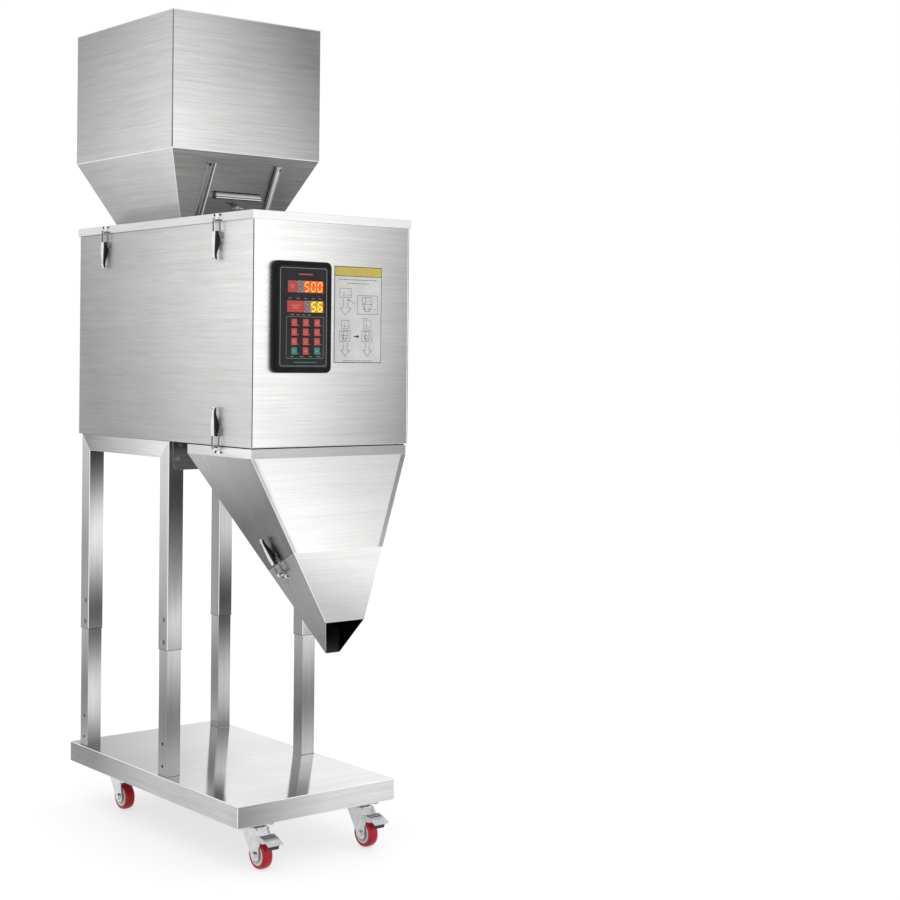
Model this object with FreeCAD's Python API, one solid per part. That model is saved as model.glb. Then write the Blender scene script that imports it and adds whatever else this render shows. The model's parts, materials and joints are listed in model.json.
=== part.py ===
"""Weighing filling machine: hopper, weighing cabinet and discharge funnel on a height-adjustable cart.

Millimetres, +Z up, +X to the machine's right as an operator faces it, -Y to the front.
The origin is on the floor under the middle of the whole machine.
Depths are given as v, the distance behind the cabinet's front face, and turned into Y by FRONT.
"""
import FreeCAD, Part
import math
import os

V = FreeCAD.Vector
X_AXIS = V(1, 0, 0)
Y_AXIS = V(0, 1, 0)
Z_AXIS = V(0, 0, 1)
SIDES = {"left": -1, "right": 1}

# Sheet and clearances
SHEET = 1.2
CLEAR_CUT = 1.0
RUNNING_GAP = 0.3
BORE_GAP = 0.05
DRAWER_GAP = 0.4

# Width of the cabinet, which the frame and the cart follow
CABINET_WIDTH = 400.0

# Cart
CASTER_HEIGHT = 94.0
WHEEL_RADIUS = 30.0
WHEEL_WIDTH = 24.0
WHEEL_CORE_RADIUS = 21.5
CASTER_TRAIL = 22.0
AXLE_RADIUS = 4.0
KINGPIN_RADIUS = 5.0
FORK_SHEET = 2.5
CASTER_INSET = 66.0
CASTER_FRONT_V = 70.0
CASTER_REAR_V = 640.0
RIB_SETBACKS = (242.0, 62.0)
TRAY_OVERHANG = 2.0
TRAY_WIDTH = CABINET_WIDTH + 2 * TRAY_OVERHANG
CASTER_X = TRAY_WIDTH / 2 - CASTER_INSET
TRAY_FRONT_V = 35.0
TRAY_DEPTH = 727.0
TRAY_RIM = 45.0
TRAY_SHEET = 2.0
TRAY_RETURN = 22.0
CASTER_PAD = 3.0
CASTER_PAD_HALF = 33.0

# Legs
LEG_SIZE = 38.0
LEG_WALL = 1.5
LEG_INSET = 2.0
LEG_OUTER_X = CABINET_WIDTH / 2 - LEG_INSET
FRONT_LEG_V = 327.0
REAR_LEG_V = 687.0
LEG_LIFT = 275.0
CABINET_LIFT = 730.0
LOWER_LEG_LENGTH = 405.0
HOLE_PITCH = 49.0
LOCK_HOLE_UP = 16.0
LEG_TRAVEL = 270.0
LOCK_SCREW_RADIUS = 3.0

# Cabinet and lid
CABINET_DEPTH = 738.0
CABINET_HEIGHT = 480.0
CABINET_RETURN = 15.0
FRONT_PANEL_INSET = 1.5
LID_OVERHANG = 4.0
LID_RIM = 18.0

# Hopper
HOPPER_WIDTH = 392.0
HOPPER_DEPTH = 440.0
HOPPER_FRONT_V = 329.0
HOPPER_BIN = 302.0
CONE_DROP = 155.0
CONE_INSET_X = 72.0
CONE_INSET_Y = 80.0
CONE_BELOW_LID = 68.0
HOPPER_HEM = 8.0
HOPPER_FLANGE = 14.0

# Slide gate on the cone's front face
GATE_HALF_WIDTH = 86.6
GATE_TOP = 66.0
GATE_BOTTOM = -62.0
GATE_LIP_HALF = 60.0
GATE_LIP_OUT = 13.0
GATE_BOLT_UP = 52.0
GATE_BOLT_RADIUS = 3.0
GATE_WINDOW_HALF = 62.0
RAIL_TOP = 152.0
RAIL_BOTTOM = -70.0
RAIL_FOOT = 10.0
RAIL_LIP_OUT = 8.0
RAIL_COVER = 7.5

# Discharge funnel and spout
COLLAR_INSET = 2.0
COLLAR_DEPTH = 247.5
COLLAR_HEIGHT = 22.0
GASKET = 2.5
NECK_INSET = 24.0
NECK_HEIGHT = 18.0
LIP_HALF_WIDTH = 50.0
LIP_V = -53.0
LIP_DROP = 335.0
OUTLET_REAR_V = -10.0
OUTLET_REAR_DROP = 408.0
SEAM_DROP = 192.0
SEAM_TILT = 22.4
DOUBLER_LENGTH = 60.0
DOUBLER_SETBACK = 18.0
FLANGE_WIDTH = 16.0
SPOUT_TONGUE = 18.0

# Latches: the pivot is the origin, +Y runs to the strike and +Z away from the wall
LATCH_PIVOT_OUT = 7.0
LATCH_PIN_RADIUS = 2.0
LEVER_HALF_WIDTH = 9.5
LEVER_TAIL = 54.0
LEVER_TOP_OUT = 13.0
BAIL_RADIUS = 1.5
BAIL_PIVOT_BACK = 8.0
BAIL_PIVOT_IN = 1.0
BAIL_HALF_WIDTH = 11.4
STRIKE_SHEET = 1.5
HOOK_FLOOR_Y = 26.0
HOOK_IN_OUT = 4.75
HOOK_LIP_OUT = 13.25
TOP_LATCH_Z_BELOW_LID = 43.0
TOP_LATCH_V = (128.0, 606.0)
BOTTOM_LATCH_V = 125.0
BOTTOM_LATCH_UP = 25.0
FUNNEL_LATCH_V = 44.5
FUNNEL_LATCH_DROP = 213.0
FUNNEL_LATCH_TILT = 15.0

# Control panel
PANEL_LEFT_X = -156.0
PANEL_WIDTH = 144.0
PANEL_TOP_BELOW_LID = 100.0
PANEL_HEIGHT = 229.0
PANEL_PROUD = 12.0
PANEL_CORNER = 12.0
FACEPLATE_MARGIN = 10.0

# Feeder and weighing unit
FEED_TRAY_HALF = 105.0
FEED_TRAY_FRONT_V = 150.0
FEED_TRAY_REAR_V = 680.0
FEED_TRAY_WALL = 27.0
FEED_TRAY_BELOW_CONE = 20.0
SHELF_UP = 250.0
SHELF_FRONT_V = 290.0
SHELF_REAR_V = 700.0
SPRING_HALF_WIDTH = 40.0
SPRING_SHEET = 1.5
SPRING_TILT = 20.0
SPRING_V = (380.0, 580.0)
BUCKET_FRONT_V = 45.0
BUCKET_REAR_V = 215.0
BUCKET_HALF = 95.0
BUCKET_TOP_UP = 310.0
BUCKET_HEIGHT = 170.0
BUCKET_TAPER_X = 30.0
BUCKET_TAPER_Y = 22.0
BUCKET_TAPER_HEIGHT = 90.0
BUCKET_SHEET = 1.0
LOAD_CELL_LENGTH = 130.0
SHELF_LIP = 20.0
FEEDER_BASE_HALF = 55.0
FEEDER_BASE_HEIGHT = 22.0
FEEDER_BASE_FRONT = 30.0
FEEDER_BASE_REAR = 40.0
MAGNET_V = 490.0
MAGNET_CORE_HALF = 22.0
MAGNET_CORE_HEIGHT = 60.0
MAGNET_COIL_HALF = 34.0
MAGNET_COIL_DEPTH = 26.0
MAGNET_COIL_LOW = 12.0
MAGNET_COIL_HIGH = 48.0
SUPPLY_WIDTH = 100.0
SUPPLY_LEFT_X = CABINET_WIDTH / 2 - SUPPLY_WIDTH - 40.0
SUPPLY_FRONT_V = 420.0
SUPPLY_DEPTH = 160.0
SUPPLY_HEIGHT = 50.0

# Rear power entry
INLET_X = -120.0
INLET_UP = 60.0

# Heights worked out from the sizes above
TRAY_TOP = CASTER_HEIGHT + TRAY_RIM
CABINET_Z = TRAY_TOP + CABINET_LIFT
CABINET_TOP = CABINET_Z + CABINET_HEIGHT
LID_TOP = CABINET_TOP + SHEET
KNEE_Z = LID_TOP + CONE_DROP
HOPPER_TOP = KNEE_Z + HOPPER_BIN
COLLAR_TOP = CABINET_Z - GASKET
COLLAR_Z = COLLAR_TOP - COLLAR_HEIGHT + GASKET
FRONT = -(HOPPER_FRONT_V + HOPPER_DEPTH + LIP_V) / 2


def box(x0, x1, v0, v1, z0, z1):
    """A box between two depths behind the cabinet's front face."""
    return Part.makeBox(x1 - x0, v1 - v0, z1 - z0, V(x0, FRONT + v0, z0))


def rod(radius, start, end):
    """A round bar between two points."""
    return Part.makeCylinder(radius, (end - start).Length, start, end - start)


def prism(points, sweep):
    """A flat polygon pushed along a vector."""
    return Part.Face(Part.makePolygon(points + points[:1])).extrude(sweep)


def stack(rings):
    """A solid with flat sides through a stack of four-cornered rings."""
    faces = [Part.Face(Part.makePolygon(ring + ring[:1])) for ring in (rings[0], rings[-1])]
    for low, high in zip(rings, rings[1:]):
        for i in range(4):
            j = (i + 1) % 4
            faces.append(Part.Face(Part.makePolygon([low[i], low[j], high[j], high[i], low[i]])))
    solid = Part.Solid(Part.Shell(faces))
    if solid.Volume < 0:
        solid.reverse()
    return solid


def ring(half_width, v0, v1, z):
    """Four corners of a rectangle at one height."""
    return [
        V(-half_width, FRONT + v0, z),
        V(half_width, FRONT + v0, z),
        V(half_width, FRONT + v1, z),
        V(-half_width, FRONT + v1, z),
    ]


def inner_ring(half_width, v0, v1, z, wall):
    """A ring moved inwards on all four sides by a wall thickness."""
    return ring(half_width - wall, v0 + wall, v1 - wall, z)


def hollow(solid, open_heights, wall):
    """Turns a solid into a shell of one wall thickness, open at its flat faces at the given heights."""
    opened = [f for f in solid.Faces if any(abs(f.BoundBox.ZMin - z) + abs(f.BoundBox.ZMax - z) < 0.01
                                            for z in open_heights)]
    return solid.makeThickness(opened, -wall, 0.001, False, False, 0, 2)


def strip(path, thickness, sweep, first=X_AXIS, second=Y_AXIS, origin=V(0, 0, 0)):
    """A folded strip: a thickened polyline of (first, second) pairs pushed along a vector."""
    half = thickness / 2
    steps = [FreeCAD.Vector(b[0] - a[0], b[1] - a[1], 0).normalize() for a, b in zip(path, path[1:])]
    left, right = [], []
    for i, (px, py) in enumerate(path):
        before = steps[max(i - 1, 0)]
        after = steps[min(i, len(steps) - 1)]
        normal = V(-before.y - after.y, before.x + after.x, 0).normalize()
        reach = half / (normal.x * -after.y + normal.y * after.x)
        left.append((px + normal.x * reach, py + normal.y * reach))
        right.append((px - normal.x * reach, py - normal.y * reach))
    outline = [origin + first * a + second * b for a, b in left + right[::-1]]
    return prism(outline, sweep)


def moved(shape, origin, y_dir, outward):
    """Sets a shape made at the origin on a wall: its Y along y_dir and its Z along outward."""
    x_dir = y_dir.cross(outward)
    matrix = FreeCAD.Matrix(x_dir.x, y_dir.x, outward.x, origin.x,
                            x_dir.y, y_dir.y, outward.y, origin.y,
                            x_dir.z, y_dir.z, outward.z, origin.z,
                            0, 0, 0, 1)
    placed = shape.copy()
    placed.Placement = FreeCAD.Placement(matrix).multiply(placed.Placement)
    return placed


def group(shapes):
    """Separate solids that share one node."""
    return Part.makeCompound(shapes)


def mirrored_x(shape):
    """The same shape on the machine's other side."""
    return shape.mirror(V(0, 0, 0), X_AXIS)


def save(name, shape):
    """Writes one node."""
    shape.exportStep("parts/" + name + ".step")


# Cart

def tray():
    """Folded platform: a top sheet, four rims and their return lips, and pads that carry the casters."""
    half = TRAY_WIDTH / 2
    rear = TRAY_FRONT_V + TRAY_DEPTH
    outer = box(-half, half, TRAY_FRONT_V, rear, CASTER_HEIGHT, TRAY_TOP)
    upright = [e for e in outer.Edges if e.BoundBox.ZLength > TRAY_RIM / 2]
    top = [e for e in outer.Edges if e.BoundBox.ZMin > TRAY_TOP - 0.1]
    outer = outer.makeFillet(TRAY_SHEET, upright + top)
    inner = box(-half + TRAY_SHEET, half - TRAY_SHEET, TRAY_FRONT_V + TRAY_SHEET, rear - TRAY_SHEET,
                CASTER_HEIGHT + TRAY_SHEET, TRAY_TOP - TRAY_SHEET)
    mouth = box(-half + TRAY_RETURN, half - TRAY_RETURN, TRAY_FRONT_V + TRAY_RETURN, rear - TRAY_RETURN,
                CASTER_HEIGHT, CASTER_HEIGHT + TRAY_SHEET)
    body = outer.cut(inner).cut(mouth)
    for side in SIDES.values():
        for v in (CASTER_FRONT_V, CASTER_REAR_V):
            x0, x1 = sorted((side * (half - TRAY_SHEET), side * (CASTER_X - CASTER_PAD_HALF)))
            body = body.fuse(box(x0, x1, v - CASTER_PAD_HALF, v + CASTER_PAD_HALF, CASTER_HEIGHT,
                                 CASTER_HEIGHT + CASTER_PAD))
    for setback in RIB_SETBACKS:
        v = rear - setback
        bar = strip([(0, 0), (0, 25), (30, 25), (30, 0)], TRAY_SHEET, X_AXIS * (TRAY_WIDTH - 2 * TRAY_SHEET),
                    Y_AXIS, Z_AXIS, V(-half + TRAY_SHEET, FRONT + v, TRAY_TOP - TRAY_SHEET - 25 - TRAY_SHEET / 2))
        body = body.fuse(bar)
    return body.removeSplitter()


CROWN_TOP = CASTER_HEIGHT - 8.3
CROWN_BOTTOM = CROWN_TOP - FORK_SHEET


def caster_plate():
    """Top plate with its bearing ring and kingpin, made about the kingpin at the origin."""
    plate = Part.makeBox(62, 62, 3, V(-31, -31, CASTER_HEIGHT - 3))
    upright = [e for e in plate.Edges if e.BoundBox.ZLength > 2]
    plate = plate.makeFillet(6, upright)
    race = Part.makeCylinder(20, 5, V(0, 0, CASTER_HEIGHT - 8))
    pin = Part.makeCylinder(KINGPIN_RADIUS, 11.5, V(0, 0, CROWN_BOTTOM - RUNNING_GAP - 2))
    head = Part.makeCylinder(9, 2.5, V(0, 0, CROWN_BOTTOM - RUNNING_GAP - 2.5))
    return plate.fuse(race).fuse(pin).fuse(head).removeSplitter()


FORK_INSIDE = WHEEL_WIDTH / 2 + 1.6
FORK_OUTSIDE = FORK_INSIDE + FORK_SHEET
BRAKE_PIVOT = V(0, -34, 67)


def caster_fork(braked):
    """Pressed fork and its axle bolt, made about the kingpin at the origin."""
    nose = -38 if braked else -30
    side = [(24, CROWN_TOP), (24, CROWN_TOP - 12), (-12, WHEEL_RADIUS - 6), (-18, WHEEL_RADIUS - 11),
            (-30, WHEEL_RADIUS - 11), (-36, WHEEL_RADIUS - 5), (-36, WHEEL_RADIUS + 6), (nose, 58),
            (nose, 72), (-26, CROWN_TOP)]
    leg_sweep = X_AXIS * FORK_SHEET
    fork = Part.makeBox(2 * FORK_OUTSIDE, 50, FORK_SHEET, V(-FORK_OUTSIDE, -26, CROWN_BOTTOM))
    for x in (-FORK_OUTSIDE, FORK_INSIDE):
        fork = fork.fuse(prism([V(x, y, z) for y, z in side], leg_sweep))
    fork = fork.cut(Part.makeCylinder(KINGPIN_RADIUS + BORE_GAP, 20, V(0, 0, CROWN_BOTTOM - 5)))
    centre = V(0, -CASTER_TRAIL, WHEEL_RADIUS)
    span = X_AXIS * (FORK_OUTSIDE + 1)
    fork = fork.cut(rod(AXLE_RADIUS + BORE_GAP, centre - span, centre + span))
    if braked:
        fork = fork.cut(rod(2.5 + BORE_GAP, BRAKE_PIVOT - span, BRAKE_PIVOT + span))
    shaft = rod(AXLE_RADIUS, centre - X_AXIS * FORK_OUTSIDE, centre + X_AXIS * FORK_OUTSIDE)
    for sign in (-1, 1):
        inner = centre + X_AXIS * sign * FORK_OUTSIDE
        shaft = shaft.fuse(hexagon(7.5, inner, X_AXIS * sign * 4.5))
    return group([fork.removeSplitter(), shaft.removeSplitter()])


def hexagon(radius, centre, sweep):
    """A hexagonal head or nut."""
    axis = V(sweep.x, sweep.y, sweep.z).normalize()
    across = Z_AXIS if abs(axis.z) < 0.9 else X_AXIS
    other = axis.cross(across).normalize()
    across = other.cross(axis)
    corners = []
    for i in range(6):
        angle = math.radians(60 * i)
        corners.append(centre + across * radius * math.cos(angle) + other * radius * math.sin(angle))
    return prism(corners, sweep)


def caster_wheel():
    """Core and tyre of one wheel, made about the kingpin at the origin."""
    half = WHEEL_WIDTH / 2
    centre = V(0, -CASTER_TRAIL, WHEEL_RADIUS)
    tread = [(WHEEL_CORE_RADIUS, -half), (WHEEL_RADIUS - 2, -half), (WHEEL_RADIUS, -half + 5),
             (WHEEL_RADIUS, half - 5), (WHEEL_RADIUS - 2, half), (WHEEL_CORE_RADIUS, half)]
    bore = AXLE_RADIUS + BORE_GAP
    hub = half + 1.2
    core = [(bore, -hub), (9, -hub), (9, -half + 2), (WHEEL_CORE_RADIUS, -half + 2),
            (WHEEL_CORE_RADIUS, half - 2), (9, half - 2), (9, hub), (bore, hub)]
    solids = []
    for profile in (core, tread):
        outline = [centre + V(x, 0, r) for r, x in profile]
        face = Part.Face(Part.makePolygon(outline + outline[:1]))
        solids.append(face.revolve(centre, X_AXIS, 360))
    return group(solids)


def brake_pedal():
    """Foot brake: a bent pedal between two ears on a pin, with its pad in front of the wheel."""
    ear_in = FORK_OUTSIDE + RUNNING_GAP
    ear = 2.0
    tread = strip([(-44, 73), (-58, 69), (-78, 60)], 2.0, X_AXIS * 2 * (ear_in + ear), Y_AXIS, Z_AXIS,
                  V(-ear_in - ear, 0, 0))
    pedal = tread
    flank = [(-30, 63), (-30, 71), (-44, 74), (-58, 69.5), (-66, 64), (-52, 60), (-40, 61)]
    for x in (-ear_in - ear, ear_in):
        pedal = pedal.fuse(prism([V(x, y, z) for y, z in flank], X_AXIS * ear))
    pin_reach = X_AXIS * (ear_in + ear)
    pedal = pedal.fuse(rod(2.5, BRAKE_PIVOT - pin_reach, BRAKE_PIVOT + pin_reach))
    pad = prism([V(-11, y, z) for y, z in ((-60, 68), (-74, 62), (-70, 50), (-62, 47))], X_AXIS * 22)
    return pedal.fuse(pad).removeSplitter()


def set_down(shape, side, v):
    """Moves a caster piece from the origin to its corner."""
    return shape.translated(V(SIDES[side] * CASTER_X, FRONT + v, 0))


# Legs and upper frame

LOWER_SIZE = LEG_SIZE - 2 * LEG_WALL - 2 * RUNNING_GAP
LOCK_Z = TRAY_TOP + LEG_LIFT + LOCK_HOLE_UP


def side_x(side, depth):
    """X of a plane a given depth inside the legs' outer face."""
    return SIDES[side] * (LEG_OUTER_X - depth)


def square_tube(x0, x1, v0, v1, z0, z1, wall, along):
    """A square tube along one axis."""
    outer = box(x0, x1, v0, v1, z0, z1)
    pad = {"x": (0, wall, wall), "y": (wall, 0, wall), "z": (wall, wall, 0)}[along]
    bore = box(x0 + pad[0], x1 - pad[0], v0 + pad[1], v1 - pad[1], z0 + pad[2], z1 - pad[2])
    return outer.cut(bore)


def leg_span(side, inset, size):
    """Low and high X of a square leg whose outer face is inset from the frame's outer face."""
    return sorted((side_x(side, inset), side_x(side, inset + size)))


def lower_leg(side, v):
    """Inner leg that stands on the tray, with screw holes for two heights."""
    inset = LEG_WALL + RUNNING_GAP
    x0, x1 = leg_span(side, inset, LOWER_SIZE)
    leg = square_tube(x0, x1, v + inset, v + inset + LOWER_SIZE, TRAY_TOP, TRAY_TOP + LOWER_LEG_LENGTH,
                      LEG_WALL, "z")
    middle = v + LEG_SIZE / 2
    for base in (LOCK_Z, LOCK_Z - LEG_TRAVEL):
        for z in (base, base + HOLE_PITCH):
            start = V(side_x(side, 0), FRONT + middle, z)
            leg = leg.cut(rod(LOCK_SCREW_RADIUS + 0.3, start, start - X_AXIS * SIDES[side] * 6))
    return leg


def side_frame(side):
    """Upper frame of one side: two outer legs and a top rail with mitred corners, as separate tubes."""
    x0, x1 = leg_span(side, 0, LEG_SIZE)
    top = CABINET_Z
    low = top - LEG_SIZE
    tubes = []
    for v, outer_v in ((FRONT_LEG_V, FRONT_LEG_V), (REAR_LEG_V, REAR_LEG_V + LEG_SIZE)):
        leg = square_tube(x0, x1, v, v + LEG_SIZE, TRAY_TOP + LEG_LIFT, top, LEG_WALL, "z")
        inner_v = 2 * v + LEG_SIZE - outer_v
        corner = [V(x0 - 1, FRONT + outer_v, top), V(x0 - 1, FRONT + inner_v, top), V(x0 - 1, FRONT + inner_v, low)]
        leg = leg.cut(prism(corner, X_AXIS * (LEG_SIZE + 2)))
        for z in (LOCK_Z, LOCK_Z + HOLE_PITCH):
            start = V(side_x(side, -1), FRONT + v + LEG_SIZE / 2, z)
            leg = leg.cut(rod(LOCK_SCREW_RADIUS + BORE_GAP, start, start - X_AXIS * SIDES[side] * 6))
        tubes.append(leg)
    rail = square_tube(x0, x1, FRONT_LEG_V, REAR_LEG_V + LEG_SIZE, low, top, LEG_WALL, "y")
    for outer_v, inner_v in ((FRONT_LEG_V, FRONT_LEG_V + LEG_SIZE), (REAR_LEG_V + LEG_SIZE, REAR_LEG_V)):
        corner = [V(x0 - 1, FRONT + outer_v, top), V(x0 - 1, FRONT + outer_v, low), V(x0 - 1, FRONT + inner_v, low)]
        rail = rail.cut(prism(corner, X_AXIS * (LEG_SIZE + 2)))
    tubes.append(rail)
    return group(tubes)


CROSS_PLATE_DROP = 63.0
CROSS_PLATE = 3.0
CROSS_BOLTS = ((LEG_OUTER_X - 28.0, 8.0), (LEG_OUTER_X - 19.0, 38.0))


def cross_rails():
    """Front cross plate bolted to the front legs and rear cross tube between the side frames."""
    half = LEG_OUTER_X - 9
    plate = box(-half, half, FRONT_LEG_V - CROSS_PLATE, FRONT_LEG_V, CABINET_Z - CROSS_PLATE_DROP, CABINET_Z)
    corners = [e for e in plate.Edges if e.BoundBox.YLength > 1 and e.BoundBox.ZMax < CABINET_Z - 10]
    plate = plate.makeFillet(12, corners)
    for x, drop in CROSS_BOLTS:
        for sign in (-1, 1):
            start = V(sign * x, FRONT + FRONT_LEG_V - CROSS_PLATE - 1, CABINET_Z - drop)
            plate = plate.cut(rod(LOCK_SCREW_RADIUS + BORE_GAP, start, start + Y_AXIS * 6))
    inner = LEG_OUTER_X - LEG_SIZE
    tube = square_tube(-inner, inner, REAR_LEG_V, REAR_LEG_V + LEG_SIZE, CABINET_Z - LEG_SIZE, CABINET_Z,
                       LEG_WALL, "x")
    return group([plate, tube])


def screw(centre, inward, reach):
    """Button-head screw with a hexagon socket; inward points into the metal."""
    head = rod(5.2, centre - inward * 2.6, centre)
    head = head.cut(hexagon(2.3, centre - inward * 2.7, inward * 1.5))
    return head.fuse(rod(LOCK_SCREW_RADIUS, centre, centre + inward * reach)).removeSplitter()


def frame_screws():
    """Height screws in the outer legs, cross-plate bolts and the rear seam screws."""
    screws = []
    for side in SIDES:
        inward = X_AXIS * -SIDES[side]
        for v in (FRONT_LEG_V, REAR_LEG_V):
            for z in (LOCK_Z, LOCK_Z + HOLE_PITCH):
                screws.append(screw(V(side_x(side, 0), FRONT + v + LEG_SIZE / 2, z), inward, LEG_WALL))
        for x, drop in CROSS_BOLTS:
            start = V(SIDES[side] * x, FRONT + FRONT_LEG_V - CROSS_PLATE, CABINET_Z - drop)
            screws.append(screw(start, Y_AXIS, CROSS_PLATE))
    return group(screws)


# Cabinet, panel and lid

BOTTOM_MOUTH = (CABINET_WIDTH / 2 - NECK_INSET + 1, NECK_INSET - 1, COLLAR_DEPTH - NECK_INSET + 5)


def cabinet_shell():
    """Folded cabinet body: four walls and a floor, a flanged top and a mouth over the funnel."""
    half = CABINET_WIDTH / 2
    outer = box(-half, half, 0, CABINET_DEPTH, CABINET_Z, CABINET_TOP)
    inner = box(-half + SHEET, half - SHEET, SHEET, CABINET_DEPTH - SHEET, CABINET_Z + SHEET, CABINET_TOP - SHEET)
    rim = CABINET_RETURN
    top_mouth = box(-half + rim, half - rim, rim, CABINET_DEPTH - rim, CABINET_TOP - SHEET, CABINET_TOP)
    mouth_half, mouth_front, mouth_rear = BOTTOM_MOUTH
    bottom_mouth = box(-mouth_half, mouth_half, mouth_front, mouth_rear, CABINET_Z, CABINET_Z + SHEET)
    panel_z = LID_TOP - PANEL_TOP_BELOW_LID
    wiring = box(PANEL_LEFT_X + 30, PANEL_LEFT_X + PANEL_WIDTH - 30, 0, SHEET, panel_z - PANEL_HEIGHT + 30,
                 panel_z - 30)
    inlet_z = CABINET_Z + INLET_UP
    inlet = box(INLET_X - 14, INLET_X + 14, CABINET_DEPTH - SHEET, CABINET_DEPTH, inlet_z - 27, inlet_z + 27)
    return outer.cut(inner).cut(top_mouth).cut(bottom_mouth).cut(wiring).cut(inlet)


def front_panel():
    """Front cover sheet over the cabinet's front wall, with the opening behind the controller."""
    half = CABINET_WIDTH / 2 - FRONT_PANEL_INSET
    sheet = box(-half, half, -SHEET, 0, CABINET_Z + FRONT_PANEL_INSET, CABINET_TOP - LID_RIM / 2)
    panel_z = LID_TOP - PANEL_TOP_BELOW_LID
    wiring = box(PANEL_LEFT_X + 30, PANEL_LEFT_X + PANEL_WIDTH - 30, -SHEET, 0, panel_z - PANEL_HEIGHT + 30,
                 panel_z - 30)
    return sheet.cut(wiring)


def cone_at(z):
    """Half width, front depth and rear depth of the hopper cone's outside at one height."""
    drop = KNEE_Z - z
    inset_x = CONE_INSET_X * drop / CONE_DROP
    inset_y = CONE_INSET_Y * drop / CONE_DROP
    rear = HOPPER_FRONT_V + HOPPER_DEPTH
    return HOPPER_WIDTH / 2 - inset_x, HOPPER_FRONT_V + inset_y, rear - inset_y


GATE_CLEAR = 14.0
LID_HALF = CABINET_WIDTH / 2 + LID_OVERHANG


def lid():
    """Shallow lid with a folded rim and the cut-out that the hopper and its gate pass through."""
    v0 = -LID_OVERHANG
    v1 = CABINET_DEPTH + LID_OVERHANG
    outer = box(-LID_HALF, LID_HALF, v0, v1, LID_TOP - LID_RIM, LID_TOP)
    upright = [e for e in outer.Edges if e.BoundBox.ZLength > 1]
    top = [e for e in outer.Edges if e.BoundBox.ZMin > LID_TOP - 0.1]
    outer = outer.makeFillet(1.5, upright + top)
    inner = box(-LID_HALF + SHEET, LID_HALF - SHEET, v0 + SHEET, v1 - SHEET, LID_TOP - LID_RIM, LID_TOP - SHEET)
    half, front, rear = cone_at(LID_TOP)
    mouth = box(-half - 1, half + 1, front - GATE_CLEAR, rear + 1, LID_TOP - SHEET, LID_TOP)
    return outer.cut(inner).cut(mouth)


CONE_OUTLET_Z = LID_TOP - CONE_BELOW_LID
SLOPE = math.atan2(CONE_INSET_Y, CONE_DROP)
SLOPE_UP = V(0, -math.sin(SLOPE), math.cos(SLOPE))
SLOPE_OUT = V(0, -math.cos(SLOPE), -math.sin(SLOPE))
GATE_ORIGIN = V(0, FRONT + cone_at(LID_TOP)[1], LID_TOP)


def on_cone(shape):
    """Sets a gate piece on the cone's front face, where it meets the lid's top."""
    return moved(shape, GATE_ORIGIN, SLOPE_UP, SLOPE_OUT)


def hopper():
    """Feed hopper: a square bin over a tapered cone, hemmed at the top and flanged onto the lid."""
    outlet = ring(*cone_at(CONE_OUTLET_Z), CONE_OUTLET_Z)
    knee = ring(*cone_at(KNEE_Z), KNEE_Z)
    rim = ring(*cone_at(KNEE_Z), HOPPER_TOP)
    solid = stack([outlet, knee, rim])
    half, front, rear = cone_at(KNEE_Z)
    hem = HOPPER_HEM
    below = CONE_OUTLET_Z - CLEAR_CUT
    shell = solid.cut(stack([
        inner_ring(*cone_at(below), below, SHEET),
        inner_ring(half, front, rear, KNEE_Z, SHEET),
        inner_ring(half, front, rear, HOPPER_TOP - SHEET, SHEET),
    ]))
    mouth = box(-half + hem, half - hem, front + hem, rear - hem, HOPPER_TOP - SHEET, HOPPER_TOP)
    shell = shell.cut(mouth)
    half, front, rear = cone_at(LID_TOP)
    wide = HOPPER_FLANGE
    flange = box(-half - wide, half + wide, front - wide, rear + wide, LID_TOP, LID_TOP + SHEET)
    gate_gap = box(-GATE_HALF_WIDTH - 14, GATE_HALF_WIDTH + 14, front - wide, front + 10, LID_TOP, LID_TOP + SHEET)
    flange = flange.cut(solid).cut(gate_gap)
    shell = shell.fuse(flange)
    window = Part.makeBox(2 * GATE_WINDOW_HALF, 66, 10, V(-GATE_WINDOW_HALF, -78, -5))
    return shell.cut(on_cone(window)).removeSplitter()


def gate_rails():
    """Two folded guide rails on the cone's front face, each with a screw head at its top."""
    edge = GATE_HALF_WIDTH + DRAWER_GAP
    riser = edge + SHEET / 2
    over = 2 * RUNNING_GAP + SHEET * 1.5
    path = [(riser + RAIL_FOOT, SHEET / 2), (riser, SHEET / 2), (riser, over),
            (riser - RAIL_COVER, over), (riser - RAIL_COVER, RAIL_LIP_OUT)]
    rail = strip(path, SHEET, Y_AXIS * (RAIL_TOP - RAIL_BOTTOM), X_AXIS, Z_AXIS, V(0, RAIL_BOTTOM, 0))
    head = Part.makeCylinder(3.6, 2.2, V(riser + RAIL_FOOT / 2, RAIL_TOP - 7, SHEET))
    rail = rail.fuse(head)
    return group([on_cone(rail), on_cone(mirrored_x(rail))])


def gate_plate():
    """Slide gate with its folded lip and the nut of the wing bolt."""
    low = RUNNING_GAP
    plate = Part.makeBox(2 * GATE_HALF_WIDTH, GATE_TOP - GATE_BOTTOM, SHEET, V(-GATE_HALF_WIDTH, GATE_BOTTOM, low))
    lip = strip([(0, low + SHEET / 2), (6, low + 4), (8, GATE_LIP_OUT)], SHEET, X_AXIS * 2 * GATE_LIP_HALF,
                Y_AXIS, Z_AXIS, V(-GATE_LIP_HALF, GATE_TOP - 1, 0))
    nut = Part.makeCylinder(7, 5, V(0, GATE_BOLT_UP, low + SHEET))
    hole = Part.makeCylinder(GATE_BOLT_RADIUS + BORE_GAP, 12, V(0, GATE_BOLT_UP, 0))
    return on_cone(plate.fuse(lip).fuse(nut).cut(hole).removeSplitter())


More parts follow.
